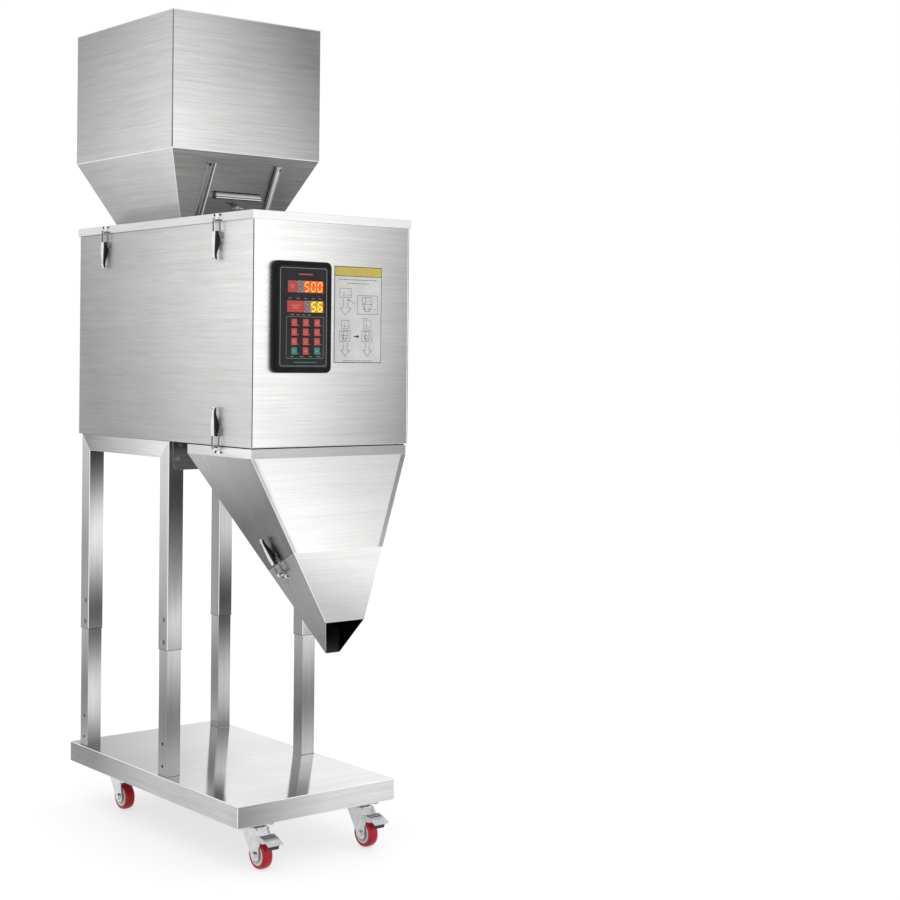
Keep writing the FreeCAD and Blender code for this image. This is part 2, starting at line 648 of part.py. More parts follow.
def wing_bolt():
    """Wing bolt that clamps the gate: a threaded shank, a round boss and two swept wings."""
    nut_top = RUNNING_GAP + SHEET + 5
    shank = Part.makeCylinder(GATE_BOLT_RADIUS, nut_top + 6, V(0, GATE_BOLT_UP, RUNNING_GAP))
    boss = Part.makeCone(6, 4.5, 9, V(0, GATE_BOLT_UP, nut_top + RUNNING_GAP))
    bolt = shank.fuse(boss)
    base = nut_top + RUNNING_GAP
    for sign in (-1, 1):
        wing = [(2, base + 1), (9, base + 2), (15, base + 8), (14.5, base + 13), (10, base + 14), (4, base + 8)]
        outline = [V(sign * x, GATE_BOLT_UP - 1.25, z) for x, z in wing]
        bolt = bolt.fuse(prism(outline, Y_AXIS * 2.5))
    return on_cone(bolt.removeSplitter())


# Funnel and spout

COLLAR_HALF = CABINET_WIDTH / 2 - COLLAR_INSET
LIP_Z = COLLAR_Z - LIP_DROP
OUTLET_REAR_Z = COLLAR_Z - OUTLET_REAR_DROP
WALL_SLOPE = (COLLAR_HALF - LIP_HALF_WIDTH) / LIP_DROP
FRONT_SLOPE = (COLLAR_INSET - LIP_V) / LIP_DROP
COLLAR_REAR_V = COLLAR_INSET + COLLAR_DEPTH
REAR_SLOPE = (COLLAR_REAR_V - OUTLET_REAR_V) / OUTLET_REAR_DROP
WALL_LEAN = math.atan(WALL_SLOPE)
SEAM_Z = COLLAR_Z - SEAM_DROP


def funnel_at(z):
    """Half width, front depth and rear depth of the funnel's outside at one height."""
    drop = COLLAR_Z - z
    return COLLAR_HALF - WALL_SLOPE * drop, COLLAR_INSET - FRONT_SLOPE * drop, COLLAR_REAR_V - REAR_SLOPE * drop


def funnel_body():
    """Solid inside the funnel's four slanting walls, down to the outlet's rear edge."""
    return stack([ring(*funnel_at(OUTLET_REAR_Z), OUTLET_REAR_Z), ring(*funnel_at(COLLAR_Z), COLLAR_Z)])


def below_line(v, z, tilt):
    """Everything under a plane through (v, z) that falls towards the rear by tilt degrees."""
    fall = math.tan(math.radians(tilt))
    reach = CABINET_DEPTH
    depth = 2 * OUTLET_REAR_DROP
    points = [(v - reach, z + fall * reach), (v + reach, z - fall * reach),
              (v + reach, z - fall * reach - depth), (v - reach, z - depth - reach)]
    return prism([V(-CABINET_WIDTH, FRONT + a, b) for a, b in points], X_AXIS * 2 * CABINET_WIDTH)


SEAM_FRONT_V = funnel_at(SEAM_Z)[1]
OUTLET_TILT = math.degrees(math.atan2(LIP_Z - OUTLET_REAR_Z, OUTLET_REAR_V - LIP_V))


def wall_frame(side):
    """Down-slope and outward directions of one of the funnel's side walls."""
    sign = SIDES[side]
    outward = V(sign * math.cos(WALL_LEAN), 0, -math.sin(WALL_LEAN))
    down = V(-sign * math.sin(WALL_LEAN), 0, -math.cos(WALL_LEAN))
    return down, outward


def wall_point(side, v, z):
    """A point on the outside of one of the funnel's side walls."""
    return V(SIDES[side] * funnel_at(z)[0], FRONT + v, z)


def wall_doublers(side):
    """Edge flange of the front plate and the doubler above the seam, on one side wall."""
    down, outward = wall_frame(side)
    tilt = math.radians(SEAM_TILT)
    seam = V(0, math.cos(tilt), 0) + down * math.sin(tilt)
    up = V(0, math.sin(tilt), 0) - down * math.cos(tilt)
    edge = wall_point(side, SEAM_FRONT_V, SEAM_Z)
    top = wall_point(side, funnel_at(COLLAR_Z)[1], COLLAR_Z)
    flange = [top, top + Y_AXIS * FLANGE_WIDTH, edge + Y_AXIS * FLANGE_WIDTH + down * FLANGE_WIDTH * math.tan(tilt),
              edge]
    flange = prism(flange, outward * SHEET)
    start = edge + seam * (DOUBLER_SETBACK / math.cos(tilt))
    width = 95.0
    doubler = prism([start, start + seam * width, start + seam * width + up * DOUBLER_LENGTH,
                     start + up * DOUBLER_LENGTH], outward * SHEET)
    return flange.fuse(doubler)


def funnel():
    """Discharge funnel: a neck and collar under the cabinet, four slanting walls down to the seam."""
    body = hollow(funnel_body(), [COLLAR_Z, OUTLET_REAR_Z], SHEET)
    body = body.cut(below_line(SEAM_FRONT_V, SEAM_Z, SEAM_TILT))
    inset = COLLAR_HALF
    collar = box(-inset, inset, COLLAR_INSET, COLLAR_REAR_V, COLLAR_Z, COLLAR_TOP)
    collar = collar.cut(box(-inset + SHEET, inset - SHEET, COLLAR_INSET + SHEET, COLLAR_REAR_V - SHEET, COLLAR_Z,
                            COLLAR_TOP - SHEET))
    neck_half = CABINET_WIDTH / 2 - NECK_INSET
    neck = box(-neck_half, neck_half, NECK_INSET, COLLAR_DEPTH - NECK_INSET + 4, COLLAR_TOP - SHEET,
               COLLAR_TOP + NECK_HEIGHT)
    bore = box(-neck_half + SHEET, neck_half - SHEET, NECK_INSET + SHEET, COLLAR_DEPTH - NECK_INSET + 4 - SHEET,
               COLLAR_TOP - SHEET, COLLAR_TOP + NECK_HEIGHT)
    shape = body.fuse(collar).fuse(neck).cut(bore)
    for side in SIDES:
        shape = shape.fuse(wall_doublers(side))
    return shape.removeSplitter()


def funnel_gasket():
    """Rubber frame squeezed between the funnel's collar and the cabinet floor."""
    half = COLLAR_HALF - 3
    outer = box(-half, half, COLLAR_INSET + 3, COLLAR_REAR_V - 3, COLLAR_TOP, CABINET_Z)
    mouth_half, mouth_front, mouth_rear = BOTTOM_MOUTH
    return outer.cut(box(-mouth_half, mouth_half, mouth_front, mouth_rear, COLLAR_TOP, CABINET_Z))


def spout():
    """Lower spout below the seam, cut to a slanting outlet, with a tongue that slips into the funnel."""
    full = hollow(funnel_body(), [COLLAR_Z, OUTLET_REAR_Z], SHEET)
    outlet_cut = below_line(LIP_V, LIP_Z, OUTLET_TILT)
    lower = full.common(below_line(SEAM_FRONT_V, SEAM_Z, SEAM_TILT)).cut(outlet_cut)
    thick = hollow(funnel_body(), [COLLAR_Z, OUTLET_REAR_Z], 2 * SHEET)
    band = thick.common(below_line(SEAM_FRONT_V, SEAM_Z + SPOUT_TONGUE, SEAM_TILT))
    band = band.cut(below_line(SEAM_FRONT_V, SEAM_Z - SPOUT_TONGUE / 2, SEAM_TILT))
    tongue = band.cut(full)
    return lower.fuse(tongue).removeSplitter()


# Latches

LEVER_WALL = 1.3


def latch_base():
    """Riveted latch base: a foot, two ears and the lever's pin."""
    foot = Part.makeBox(15.4, 24, SHEET, V(-7.7, -16, 0))
    base = foot
    for x in (-7.7, 7.7 - SHEET):
        ear = Part.makeBox(SHEET, 8, 10, V(x, -4, 0))
        top = [e for e in ear.Edges if e.BoundBox.XLength > 1 and e.BoundBox.ZMin > 9]
        base = base.fuse(ear.makeFillet(3, top))
    half = LEVER_HALF_WIDTH
    pin = rod(LATCH_PIN_RADIUS, V(-half, 0, LATCH_PIVOT_OUT), V(half, 0, LATCH_PIVOT_OUT))
    return base.fuse(pin).removeSplitter()


def latch_lever():
    """Pressed lever: a channel that narrows to a waist and flares into a fishtail."""
    half = LEVER_HALF_WIDTH
    plan = [(half, 5), (half, -8), (4.2, -38), (4.2, -43), (8.5, -LEVER_TAIL)]
    outline = [V(x, y, 3.5) for x, y in plan] + [V(-x, y, 3.5) for x, y in reversed(plan)]
    body = prism(outline, Z_AXIS * (LEVER_TOP_OUT - 3.5))
    wall = LEVER_WALL
    inside = [(half - wall, 6), (half - wall, -8), (4.2 - wall, -38), (4.2 - wall, -LEVER_TAIL - 1)]
    outline = [V(x, y, 3.4) for x, y in inside] + [V(-x, y, 3.4) for x, y in reversed(inside)]
    body = body.cut(prism(outline, Z_AXIS * (LEVER_TOP_OUT - wall - 3.4)))
    under = [(-16, 3), (-41, LEVER_TOP_OUT - wall), (-LEVER_TAIL - 1, LEVER_TOP_OUT - wall), (-LEVER_TAIL - 1, 3)]
    body = body.cut(prism([V(-12, y, z) for y, z in under], X_AXIS * 24))
    across = X_AXIS * 12
    pivot = V(0, 0, LATCH_PIVOT_OUT)
    bail = V(0, -BAIL_PIVOT_BACK, LATCH_PIVOT_OUT - BAIL_PIVOT_IN)
    body = body.cut(rod(LATCH_PIN_RADIUS + BORE_GAP, pivot - across, pivot + across))
    return body.cut(rod(BAIL_RADIUS + BORE_GAP, bail - across, bail + across)).removeSplitter()


HOOK_FLOOR = HOOK_FLOOR_Y + STRIKE_SHEET / 2
CROSSBAR_Y = HOOK_FLOOR + RUNNING_GAP + BAIL_RADIUS
CROSSBAR_OUT = HOOK_IN_OUT + STRIKE_SHEET / 2 + RUNNING_GAP + BAIL_RADIUS + 0.1


def mitred_wire(points, radius):
    """Round wire along straight runs that meet in mitres."""
    runs = [(b - a).normalize() for a, b in zip(points, points[1:])]
    reach = 4 * radius
    wire = None
    for i, along in enumerate(runs):
        ends = [points[i], points[i + 1]]
        inner = [i > 0, i < len(runs) - 1]
        start = ends[0] - along * reach if inner[0] else ends[0]
        stop = ends[1] + along * reach if inner[1] else ends[1]
        piece = rod(radius, start, stop)
        for end, other, sign in ((0, i - 1, -1), (1, i + 1, 1)):
            if not inner[end]:
                continue
            normal = (along + runs[other]).normalize()
            across = normal.cross(X_AXIS if abs(normal.x) < 0.7 else Z_AXIS).normalize()
            third = normal.cross(across)
            corner = ends[end]
            square = [corner + across * a * reach + third * b * reach for a, b in ((-1, -1), (1, -1), (1, 1), (-1, 1))]
            piece = piece.cut(prism(square, normal * sign * 2 * reach))
        wire = piece if wire is None else wire.fuse(piece)
    return wire.removeSplitter()


def latch_bail():
    """Wire bail: two legs from the lever's holes, slanted shoulders and a crossbar in the hook."""
    pivot = V(0, -BAIL_PIVOT_BACK, LATCH_PIVOT_OUT - BAIL_PIVOT_IN)
    end = V(0, CROSSBAR_Y, CROSSBAR_OUT)
    length = (end - pivot).Length
    along = (end - pivot).normalize()
    half = BAIL_HALF_WIDTH
    toe = LEVER_HALF_WIDTH - LEVER_WALL - 0.1
    shoulder = 5.0
    plan = [(toe, 0), (half, 0), (half, length - shoulder), (half - shoulder, length), (shoulder - half, length),
            (-half, length - shoulder), (-half, 0), (-toe, 0)]
    return mitred_wire([pivot + X_AXIS * x + along * w for x, w in plan], BAIL_RADIUS)


def latch_strike(seat):
    """Strike plate whose seat lies a given height off the latch's wall, with an upturned hook."""
    tongue = [(36, seat + STRIKE_SHEET / 2), (33.5, HOOK_IN_OUT), (HOOK_FLOOR_Y, HOOK_IN_OUT),
              (HOOK_FLOOR_Y, HOOK_LIP_OUT), (32, HOOK_LIP_OUT)]
    if abs(seat + STRIKE_SHEET / 2 - HOOK_IN_OUT) < 0.5:
        tongue[1] = (33.5, seat + STRIKE_SHEET / 2)
    hook = strip(tongue, STRIKE_SHEET, X_AXIS * 9, Y_AXIS, Z_AXIS, V(-4.5, 0, 0))
    plate = Part.makeBox(30, 7.5, STRIKE_SHEET, V(-15, 35, seat))
    return plate.fuse(hook).removeSplitter()


def latch_places():
    """Name, origin, direction to the strike, outward direction and strike seat of each latch."""
    places = []
    for side, sign in SIDES.items():
        wall = sign * CABINET_WIDTH / 2
        outward = V(sign, 0, 0)
        for name, v in zip(("front", "rear"), TOP_LATCH_V):
            origin = V(wall, FRONT + v, LID_TOP - TOP_LATCH_Z_BELOW_LID)
            places.append((f"lid_{name}_{side}", origin, Z_AXIS, outward, LID_OVERHANG))
        origin = V(wall, FRONT + BOTTOM_LATCH_V, CABINET_Z + BOTTOM_LATCH_UP)
        places.append((f"funnel_{side}", origin, -Z_AXIS, outward, -COLLAR_INSET))
        down, outward = wall_frame(side)
        tilt = math.radians(FUNNEL_LATCH_TILT)
        to_strike = down * math.cos(tilt) - Y_AXIS * math.sin(tilt)
        origin = wall_point(side, FUNNEL_LATCH_V, COLLAR_Z - FUNNEL_LATCH_DROP) + outward * SHEET
        places.append((f"spout_{side}", origin, to_strike, outward, -SHEET))
    return places


# Control panel and power entry

PANEL_Z = LID_TOP - PANEL_TOP_BELOW_LID - PANEL_HEIGHT


def rounded_box(x0, x1, v0, v1, z0, z1, corner, edge):
    """A plate with round corners and a softened front edge."""
    shape = box(x0, x1, v0, v1, z0, z1)
    corners = [e for e in shape.Edges if e.BoundBox.YLength > 1]
    shape = shape.makeFillet(corner, corners)
    front = [e for e in shape.Edges if e.BoundBox.YMax < FRONT + v0 + 0.01]
    return shape.makeFillet(edge, front)


def control_housing():
    """Moulded frame of the controller, recessed for its faceplate."""
    x0, x1 = PANEL_LEFT_X, PANEL_LEFT_X + PANEL_WIDTH
    shape = rounded_box(x0, x1, -SHEET - PANEL_PROUD, -SHEET, PANEL_Z, PANEL_Z + PANEL_HEIGHT, PANEL_CORNER, 4.0)
    edge = FACEPLATE_MARGIN
    recess = box(x0 + edge, x1 - edge, -SHEET - PANEL_PROUD - 1, -SHEET - PANEL_PROUD + 1.0, PANEL_Z + edge,
                 PANEL_Z + PANEL_HEIGHT - edge)
    return shape.cut(recess)


KEY_COLUMNS = 3
KEY_ROWS = 4
KEY_WIDTH = 15.0
KEY_HEIGHT = 15.0
KEY_PITCH_X = 28.5
KEY_PITCH_Z = 19.3
FIRST_KEY_X = -107.0
TOP_KEY_BELOW_LID = 226.0


def control_faceplate():
    """Faceplate with two display windows and twelve raised membrane keys."""
    edge = FACEPLATE_MARGIN + RUNNING_GAP
    x0, x1 = PANEL_LEFT_X + edge, PANEL_LEFT_X + PANEL_WIDTH - edge
    back = -SHEET - PANEL_PROUD + 1.0
    plate = box(x0, x1, back - 0.8, back, PANEL_Z + edge, PANEL_Z + PANEL_HEIGHT - edge)
    for row in range(KEY_ROWS):
        for column in range(KEY_COLUMNS):
            x = FIRST_KEY_X + column * KEY_PITCH_X
            z = LID_TOP - TOP_KEY_BELOW_LID - row * KEY_PITCH_Z
            key = box(x - KEY_WIDTH / 2, x + KEY_WIDTH / 2, back - 1.4, back - 0.8, z - KEY_HEIGHT / 2,
                      z + KEY_HEIGHT / 2)
            plate = plate.fuse(key)
    return plate.removeSplitter()


def control_boards():
    """Circuit board behind the front wall and the power supply on the cabinet floor."""
    x0, x1 = PANEL_LEFT_X, PANEL_LEFT_X + PANEL_WIDTH
    board = box(x0, x1, SHEET + 10, SHEET + 11.6, PANEL_Z + 20, PANEL_Z + PANEL_HEIGHT - 20)
    for x in (x0 + 8, x1 - 8):
        for z in (PANEL_Z + 28, PANEL_Z + PANEL_HEIGHT - 28):
            start = V(x, FRONT + SHEET, z)
            board = board.fuse(rod(3, start, start + Y_AXIS * 10))
    low = CABINET_Z + SHEET
    supply = box(SUPPLY_LEFT_X, SUPPLY_LEFT_X + SUPPLY_WIDTH, SUPPLY_FRONT_V, SUPPLY_FRONT_V + SUPPLY_DEPTH, low,
                 low + SUPPLY_HEIGHT)
    return group([board.removeSplitter(), supply])


SWITCH_Z = CABINET_Z + INLET_UP + 15
SWITCH_PIVOT_V = CABINET_DEPTH + 1.0
SWITCH_PIN_RADIUS = 1.0


def power_inlet():
    """Rear power entry: a flanged module with a socket for a lead and a pocket for the switch."""
    z = CABINET_Z + INLET_UP
    flange = box(INLET_X - 20, INLET_X + 20, CABINET_DEPTH, CABINET_DEPTH + 4, z - 32, z + 32)
    body = box(INLET_X - 13.5, INLET_X + 13.5, CABINET_DEPTH - 30, CABINET_DEPTH, z - 26, z + 26)
    socket = box(INLET_X - 11, INLET_X + 11, CABINET_DEPTH - 16, CABINET_DEPTH + 4, z - 24, z - 6)
    pocket = box(INLET_X - 8, INLET_X + 8, CABINET_DEPTH - 12, CABINET_DEPTH + 4, SWITCH_Z - 10.5, SWITCH_Z + 10.5)
    shape = flange.fuse(body).cut(socket).cut(pocket)
    for dx, dz in ((-5.5, -18), (5.5, -18), (0, -12)):
        pin = box(INLET_X + dx - 1, INLET_X + dx + 1, CABINET_DEPTH - 16, CABINET_DEPTH - 2, z + dz - 2, z + dz + 2)
        shape = shape.fuse(pin)
    pivot = V(INLET_X, FRONT + SWITCH_PIVOT_V, SWITCH_Z)
    return shape.fuse(rod(SWITCH_PIN_RADIUS, pivot - X_AXIS * 9, pivot + X_AXIS * 9)).removeSplitter()


def power_switch():
    """Rocker of the power switch with its two raised ends and the bore for its pin."""
    v = SWITCH_PIVOT_V
    pivot = V(INLET_X, FRONT + v, SWITCH_Z)
    profile = [(v - 5, -7), (v + 2.0, -9.2), (v + 5.2, -9.2), (v + 3.0, 0), (v + 5.2, 9.2), (v + 2.0, 9.2), (v - 5, 7)]
    rocker = prism([V(INLET_X - 7.5, FRONT + a, SWITCH_Z + b) for a, b in profile], X_AXIS * 15)
    return rocker.cut(rod(SWITCH_PIN_RADIUS + BORE_GAP, pivot - X_AXIS * 9, pivot + X_AXIS * 9))


# Feeder and weighing unit

SHELF_Z = CABINET_Z + SHELF_UP
FEED_FLOOR = CONE_OUTLET_Z - FEED_TRAY_BELOW_CONE


def feeder_stand():
    """Folded shelf between the cabinet's side walls with the feeder's heavy base block."""
    inner = CABINET_WIDTH / 2 - SHEET
    path = [(SHELF_FRONT_V, SHELF_Z - SHELF_LIP), (SHELF_FRONT_V, SHELF_Z), (SHELF_REAR_V, SHELF_Z),
            (SHELF_REAR_V, SHELF_Z - SHELF_LIP)]
    shelf = strip(path, 2.0, X_AXIS * 2 * inner, Y_AXIS, Z_AXIS, V(-inner, FRONT, 0))
    slot = box(-20, 20, SHELF_FRONT_V - 5, SHELF_FRONT_V + 5, SHELF_Z - 25, SHELF_Z - 1)
    half = FEEDER_BASE_HALF
    block = box(-half, half, SPRING_V[0] - FEEDER_BASE_FRONT, SPRING_V[1] + FEEDER_BASE_REAR, SHELF_Z + 1,
                SHELF_Z + FEEDER_BASE_HEIGHT)
    return shelf.cut(slot).fuse(block).removeSplitter()


SPRING_FOOT = SHELF_Z + FEEDER_BASE_HEIGHT
SPRING_LENGTH = 95.0
SPRING_GAP = 0.8


def leaf_springs():
    """Two tilted leaf springs that stand on the base block, each between clamp bars."""
    springs = []
    lean = math.radians(SPRING_TILT)
    for v in SPRING_V:
        clamp = box(-SPRING_HALF_WIDTH, SPRING_HALF_WIDTH, v - 9, v + 9, SPRING_FOOT, SPRING_FOOT + 14)
        tip = (v + SPRING_LENGTH * math.sin(lean), SPRING_FOOT + 14 + SPRING_LENGTH * math.cos(lean))
        blade = strip([(v, SPRING_FOOT + 6), (v, SPRING_FOOT + 14), tip], SPRING_SHEET,
                      X_AXIS * 2 * (SPRING_HALF_WIDTH - 4), Y_AXIS, Z_AXIS, V(4 - SPRING_HALF_WIDTH, FRONT, 0))
        springs.append(clamp.fuse(blade).removeSplitter())
    return group(springs)


def electromagnet():
    """Coil on its laminated core, bolted to the base block."""
    core = box(-MAGNET_CORE_HALF, MAGNET_CORE_HALF, MAGNET_V - 14, MAGNET_V + 14, SPRING_FOOT,
               SPRING_FOOT + MAGNET_CORE_HEIGHT)
    coil = box(-MAGNET_COIL_HALF, MAGNET_COIL_HALF, MAGNET_V - MAGNET_COIL_DEPTH, MAGNET_V + MAGNET_COIL_DEPTH,
               SPRING_FOOT + MAGNET_COIL_LOW, SPRING_FOOT + MAGNET_COIL_HIGH)
    upright = [e for e in coil.Edges if e.BoundBox.ZLength > 10]
    return core.fuse(coil.makeFillet(6, upright)).removeSplitter()


def feed_tray():
    """Vibrating feed tray, open at its front end, with the lugs that its springs and magnet act on."""
    half = FEED_TRAY_HALF
    outer = box(-half, half, FEED_TRAY_FRONT_V, FEED_TRAY_REAR_V, FEED_FLOOR - SHEET, FEED_FLOOR + FEED_TRAY_WALL)
    inner = box(-half + SHEET, half - SHEET, FEED_TRAY_FRONT_V, FEED_TRAY_REAR_V - SHEET, FEED_FLOOR,
                FEED_FLOOR + FEED_TRAY_WALL)
    tray_shape = outer.cut(inner)
    lean = math.radians(SPRING_TILT)
    for v in SPRING_V:
        top = v + SPRING_LENGTH * math.sin(lean) + SPRING_SHEET / 2 + SPRING_GAP
        low = SPRING_FOOT + 14 + SPRING_LENGTH * math.cos(lean) - 16
        lug = box(-SPRING_HALF_WIDTH, SPRING_HALF_WIDTH, top, top + 10, low, FEED_FLOOR - SHEET)
        tray_shape = tray_shape.fuse(lug)
    armature = box(-20, 20, MAGNET_V - 12, MAGNET_V + 12, SPRING_FOOT + MAGNET_CORE_HEIGHT + 2, FEED_FLOOR - SHEET)
    return tray_shape.fuse(armature).removeSplitter()


BUCKET_TOP = CABINET_Z + BUCKET_TOP_UP
BUCKET_Z = BUCKET_TOP - BUCKET_HEIGHT
LOAD_CELL_Z = SHELF_Z - 60.0
LOAD_CELL_V = BUCKET_REAR_V + 12.0
FLAP_PIVOT_V = BUCKET_REAR_V - BUCKET_TAPER_Y + 6
FLAP_PIVOT_Z = BUCKET_Z + 2


def bucket_ring(inset_x, inset_y, z):
    """Four corners of the bucket at one height."""
    return ring(BUCKET_HALF - inset_x, BUCKET_FRONT_V + inset_y, BUCKET_REAR_V - inset_y, z)


def weigh_bucket():
    """Weighing bucket, open above and below, with the arm to its load cell and the flap's ears."""
    solid = stack([bucket_ring(BUCKET_TAPER_X, BUCKET_TAPER_Y, BUCKET_Z), bucket_ring(0, 0, BUCKET_Z + BUCKET_TAPER_HEIGHT),
                   bucket_ring(0, 0, BUCKET_TOP)])
    shell = solid.cut(stack([
        bucket_ring(BUCKET_TAPER_X + BUCKET_SHEET, BUCKET_TAPER_Y + BUCKET_SHEET, BUCKET_Z),
        bucket_ring(BUCKET_SHEET, BUCKET_SHEET, BUCKET_Z + BUCKET_TAPER_HEIGHT),
        bucket_ring(BUCKET_SHEET, BUCKET_SHEET, BUCKET_TOP),
    ]))
    arm = box(-18, 18, BUCKET_REAR_V, BUCKET_REAR_V + 3, BUCKET_TOP - 75, BUCKET_TOP - 20)
    foot = box(-18, 18, BUCKET_REAR_V, LOAD_CELL_V + 24, LOAD_CELL_Z + 30, LOAD_CELL_Z + 33)
    web = box(-18, 18, BUCKET_REAR_V, BUCKET_REAR_V + 3, LOAD_CELL_Z + 30, BUCKET_TOP - 20)
    shell = shell.fuse(arm).fuse(web).fuse(foot)
    bottom_half = BUCKET_HALF - BUCKET_TAPER_X
    for sign in (-1, 1):
        x0, x1 = sorted((sign * (bottom_half - 8), sign * (bottom_half - 11)))
        ear = box(x0, x1, BUCKET_REAR_V - BUCKET_TAPER_Y - 2, FLAP_PIVOT_V + 6, BUCKET_Z - 3, BUCKET_Z + 9)
        shell = shell.fuse(ear)
    reach = X_AXIS * (bottom_half + 4)
    pivot = V(0, FRONT + FLAP_PIVOT_V, FLAP_PIVOT_Z)
    inside = stack([bucket_ring(BUCKET_TAPER_X + 1.2, BUCKET_TAPER_Y + 1.2, BUCKET_Z - 10),
                    bucket_ring(BUCKET_TAPER_X + 1.2, BUCKET_TAPER_Y + 1.2, BUCKET_Z + 12)])
    return shell.cut(rod(2.5 + BORE_GAP, pivot - reach, pivot + reach)).cut(inside).removeSplitter()


def bucket_flap():
    """Flap that closes the bucket, on a pin behind its rear edge."""
    bottom_half = BUCKET_HALF - BUCKET_TAPER_X
    front = BUCKET_FRONT_V + BUCKET_TAPER_Y
    low = BUCKET_Z - RUNNING_GAP - SHEET
    plate = box(-bottom_half - 2, bottom_half + 2, front - 3, FLAP_PIVOT_V - 3, low, low + SHEET)
    for sign in (-1, 1):
        x0, x1 = sorted((sign * (bottom_half - 8 + RUNNING_GAP), sign * (bottom_half - 5)))
        notch0, notch1 = sorted((sign * (bottom_half - 12), sign * (bottom_half - 7)))
        plate = plate.cut(box(notch0, notch1, BUCKET_REAR_V - BUCKET_TAPER_Y - 4, FLAP_PIVOT_V, low, low + SHEET))
        boss_end = V(x0, FRONT + FLAP_PIVOT_V, FLAP_PIVOT_Z)
        boss = rod(4, boss_end, boss_end + X_AXIS * (x1 - x0))
        plate = plate.fuse(boss).fuse(box(x0, x1, FLAP_PIVOT_V - 8, FLAP_PIVOT_V, low, low + SHEET))
    reach = X_AXIS * (bottom_half - 5)
    pivot = V(0, FRONT + FLAP_PIVOT_V, FLAP_PIVOT_Z)
    return plate.fuse(rod(2.5, pivot - reach, pivot + reach)).removeSplitter()


def flap_actuator():
    """Solenoid that opens the flap, hung beside the bucket's rear wall on its own bracket."""
    x0 = 26.0
    v0 = BUCKET_REAR_V
    bracket = box(x0, x0 + 40, v0, v0 + 2, BUCKET_Z + 95, BUCKET_Z + 140)
    body = box(x0 + 4, x0 + 36, v0 + 2, v0 + 30, BUCKET_Z + 92, BUCKET_Z + 138)
    plunger = Part.makeCylinder(4, 50, V(x0 + 20, FRONT + v0 + 16, BUCKET_Z + 42))
    return bracket.fuse(body).fuse(plunger).removeSplitter()


def load_cell():
    """Bending-beam load cell with its double bore, and the spacers at its two ends."""
    v0 = LOAD_CELL_V
    beam = box(-11, 11, v0, v0 + LOAD_CELL_LENGTH, LOAD_CELL_Z, LOAD_CELL_Z + 30)
    middle = v0 + LOAD_CELL_LENGTH / 2
    for offset in (-16, 16):
        centre = V(-12, FRONT + middle + offset, LOAD_CELL_Z + 15)
        beam = beam.cut(rod(10.5, centre, centre + X_AXIS * 24))
    beam = beam.cut(box(-11, 11, middle - 16, middle + 16, LOAD_CELL_Z + 11, LOAD_CELL_Z + 19))
    spacer = box(-11, 11, v0 + LOAD_CELL_LENGTH - 26, v0 + LOAD_CELL_LENGTH, LOAD_CELL_Z + 30, SHELF_Z - 1)
    return beam.fuse(spacer).removeSplitter()


def build():
    """Makes every node and writes it."""
    os.makedirs("parts", exist_ok=True)
    save("platform_tray", tray())
    corners = [(side, end) for side in SIDES for end in ("front", "rear")]
    caster_v = {"front": CASTER_FRONT_V, "rear": CASTER_REAR_V}
    leg_v = {"front": FRONT_LEG_V, "rear": REAR_LEG_V}
    save("caster_plates", group([set_down(caster_plate(), side, caster_v[end]) for side, end in corners]))
    for side, end in corners:
        name = f"{end}_{side}"
        v = caster_v[end]
        save("caster_fork_" + name, set_down(caster_fork(end == "front"), side, v))
        save("caster_wheel_" + name, set_down(caster_wheel(), side, v))
        if end == "front":
            save("brake_pedal_" + side, set_down(brake_pedal(), side, v))
        save("lower_leg_" + name, lower_leg(side, leg_v[end]))
    for side in SIDES:
        save("side_frame_" + side, side_frame(side))
    save("cross_rails", cross_rails())
    save("frame_screws", frame_screws())
    save("cabinet_shell", cabinet_shell())
    save("front_panel", front_panel())
    save("lid", lid())
    save("hopper", hopper())
    save("gate_rails", gate_rails())
    save("gate_plate", gate_plate())
    save("gate_wing_bolt", wing_bolt())
    save("funnel", funnel())
    save("funnel_gasket", funnel_gasket())
    save("spout", spout())
    plates = []
    for name, origin, to_strike, outward, seat in latch_places():
        plates.append(moved(latch_base(), origin, to_strike, outward))
        plates.append(moved(latch_strike(seat), origin, to_strike, outward))
        save("latch_lever_" + name, moved(latch_lever(), origin, to_strike, outward))
        save("latch_bail_" + name, moved(latch_bail(), origin, to_strike, outward))
    save("latch_plates", group(plates))
    save("control_housing", control_housing())
    save("control_faceplate", control_faceplate())
    save("control_boards", control_boards())
    save("power_inlet", power_inlet())
    save("power_switch", power_switch())
    save("feeder_stand", feeder_stand())
    save("leaf_springs", leaf_springs())
    save("electromagnet", electromagnet())
    save("feed_tray", feed_tray())
    save("weigh_bucket", weigh_bucket())
    save("bucket_flap", bucket_flap())
    save("flap_actuator", flap_actuator())
    save("load_cell", load_cell())


build()
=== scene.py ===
"""Looks of the weighing filling machine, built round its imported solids.

Metres, +Z up, -Y to the front and +X to the machine's right. The floor is at zero height.
"""
import json
import logging
import math
from dataclasses import dataclass, field
from enum import Enum
from typing import Callable, Iterable, Sequence

import bmesh
import bpy
from mathutils import Matrix, Vector

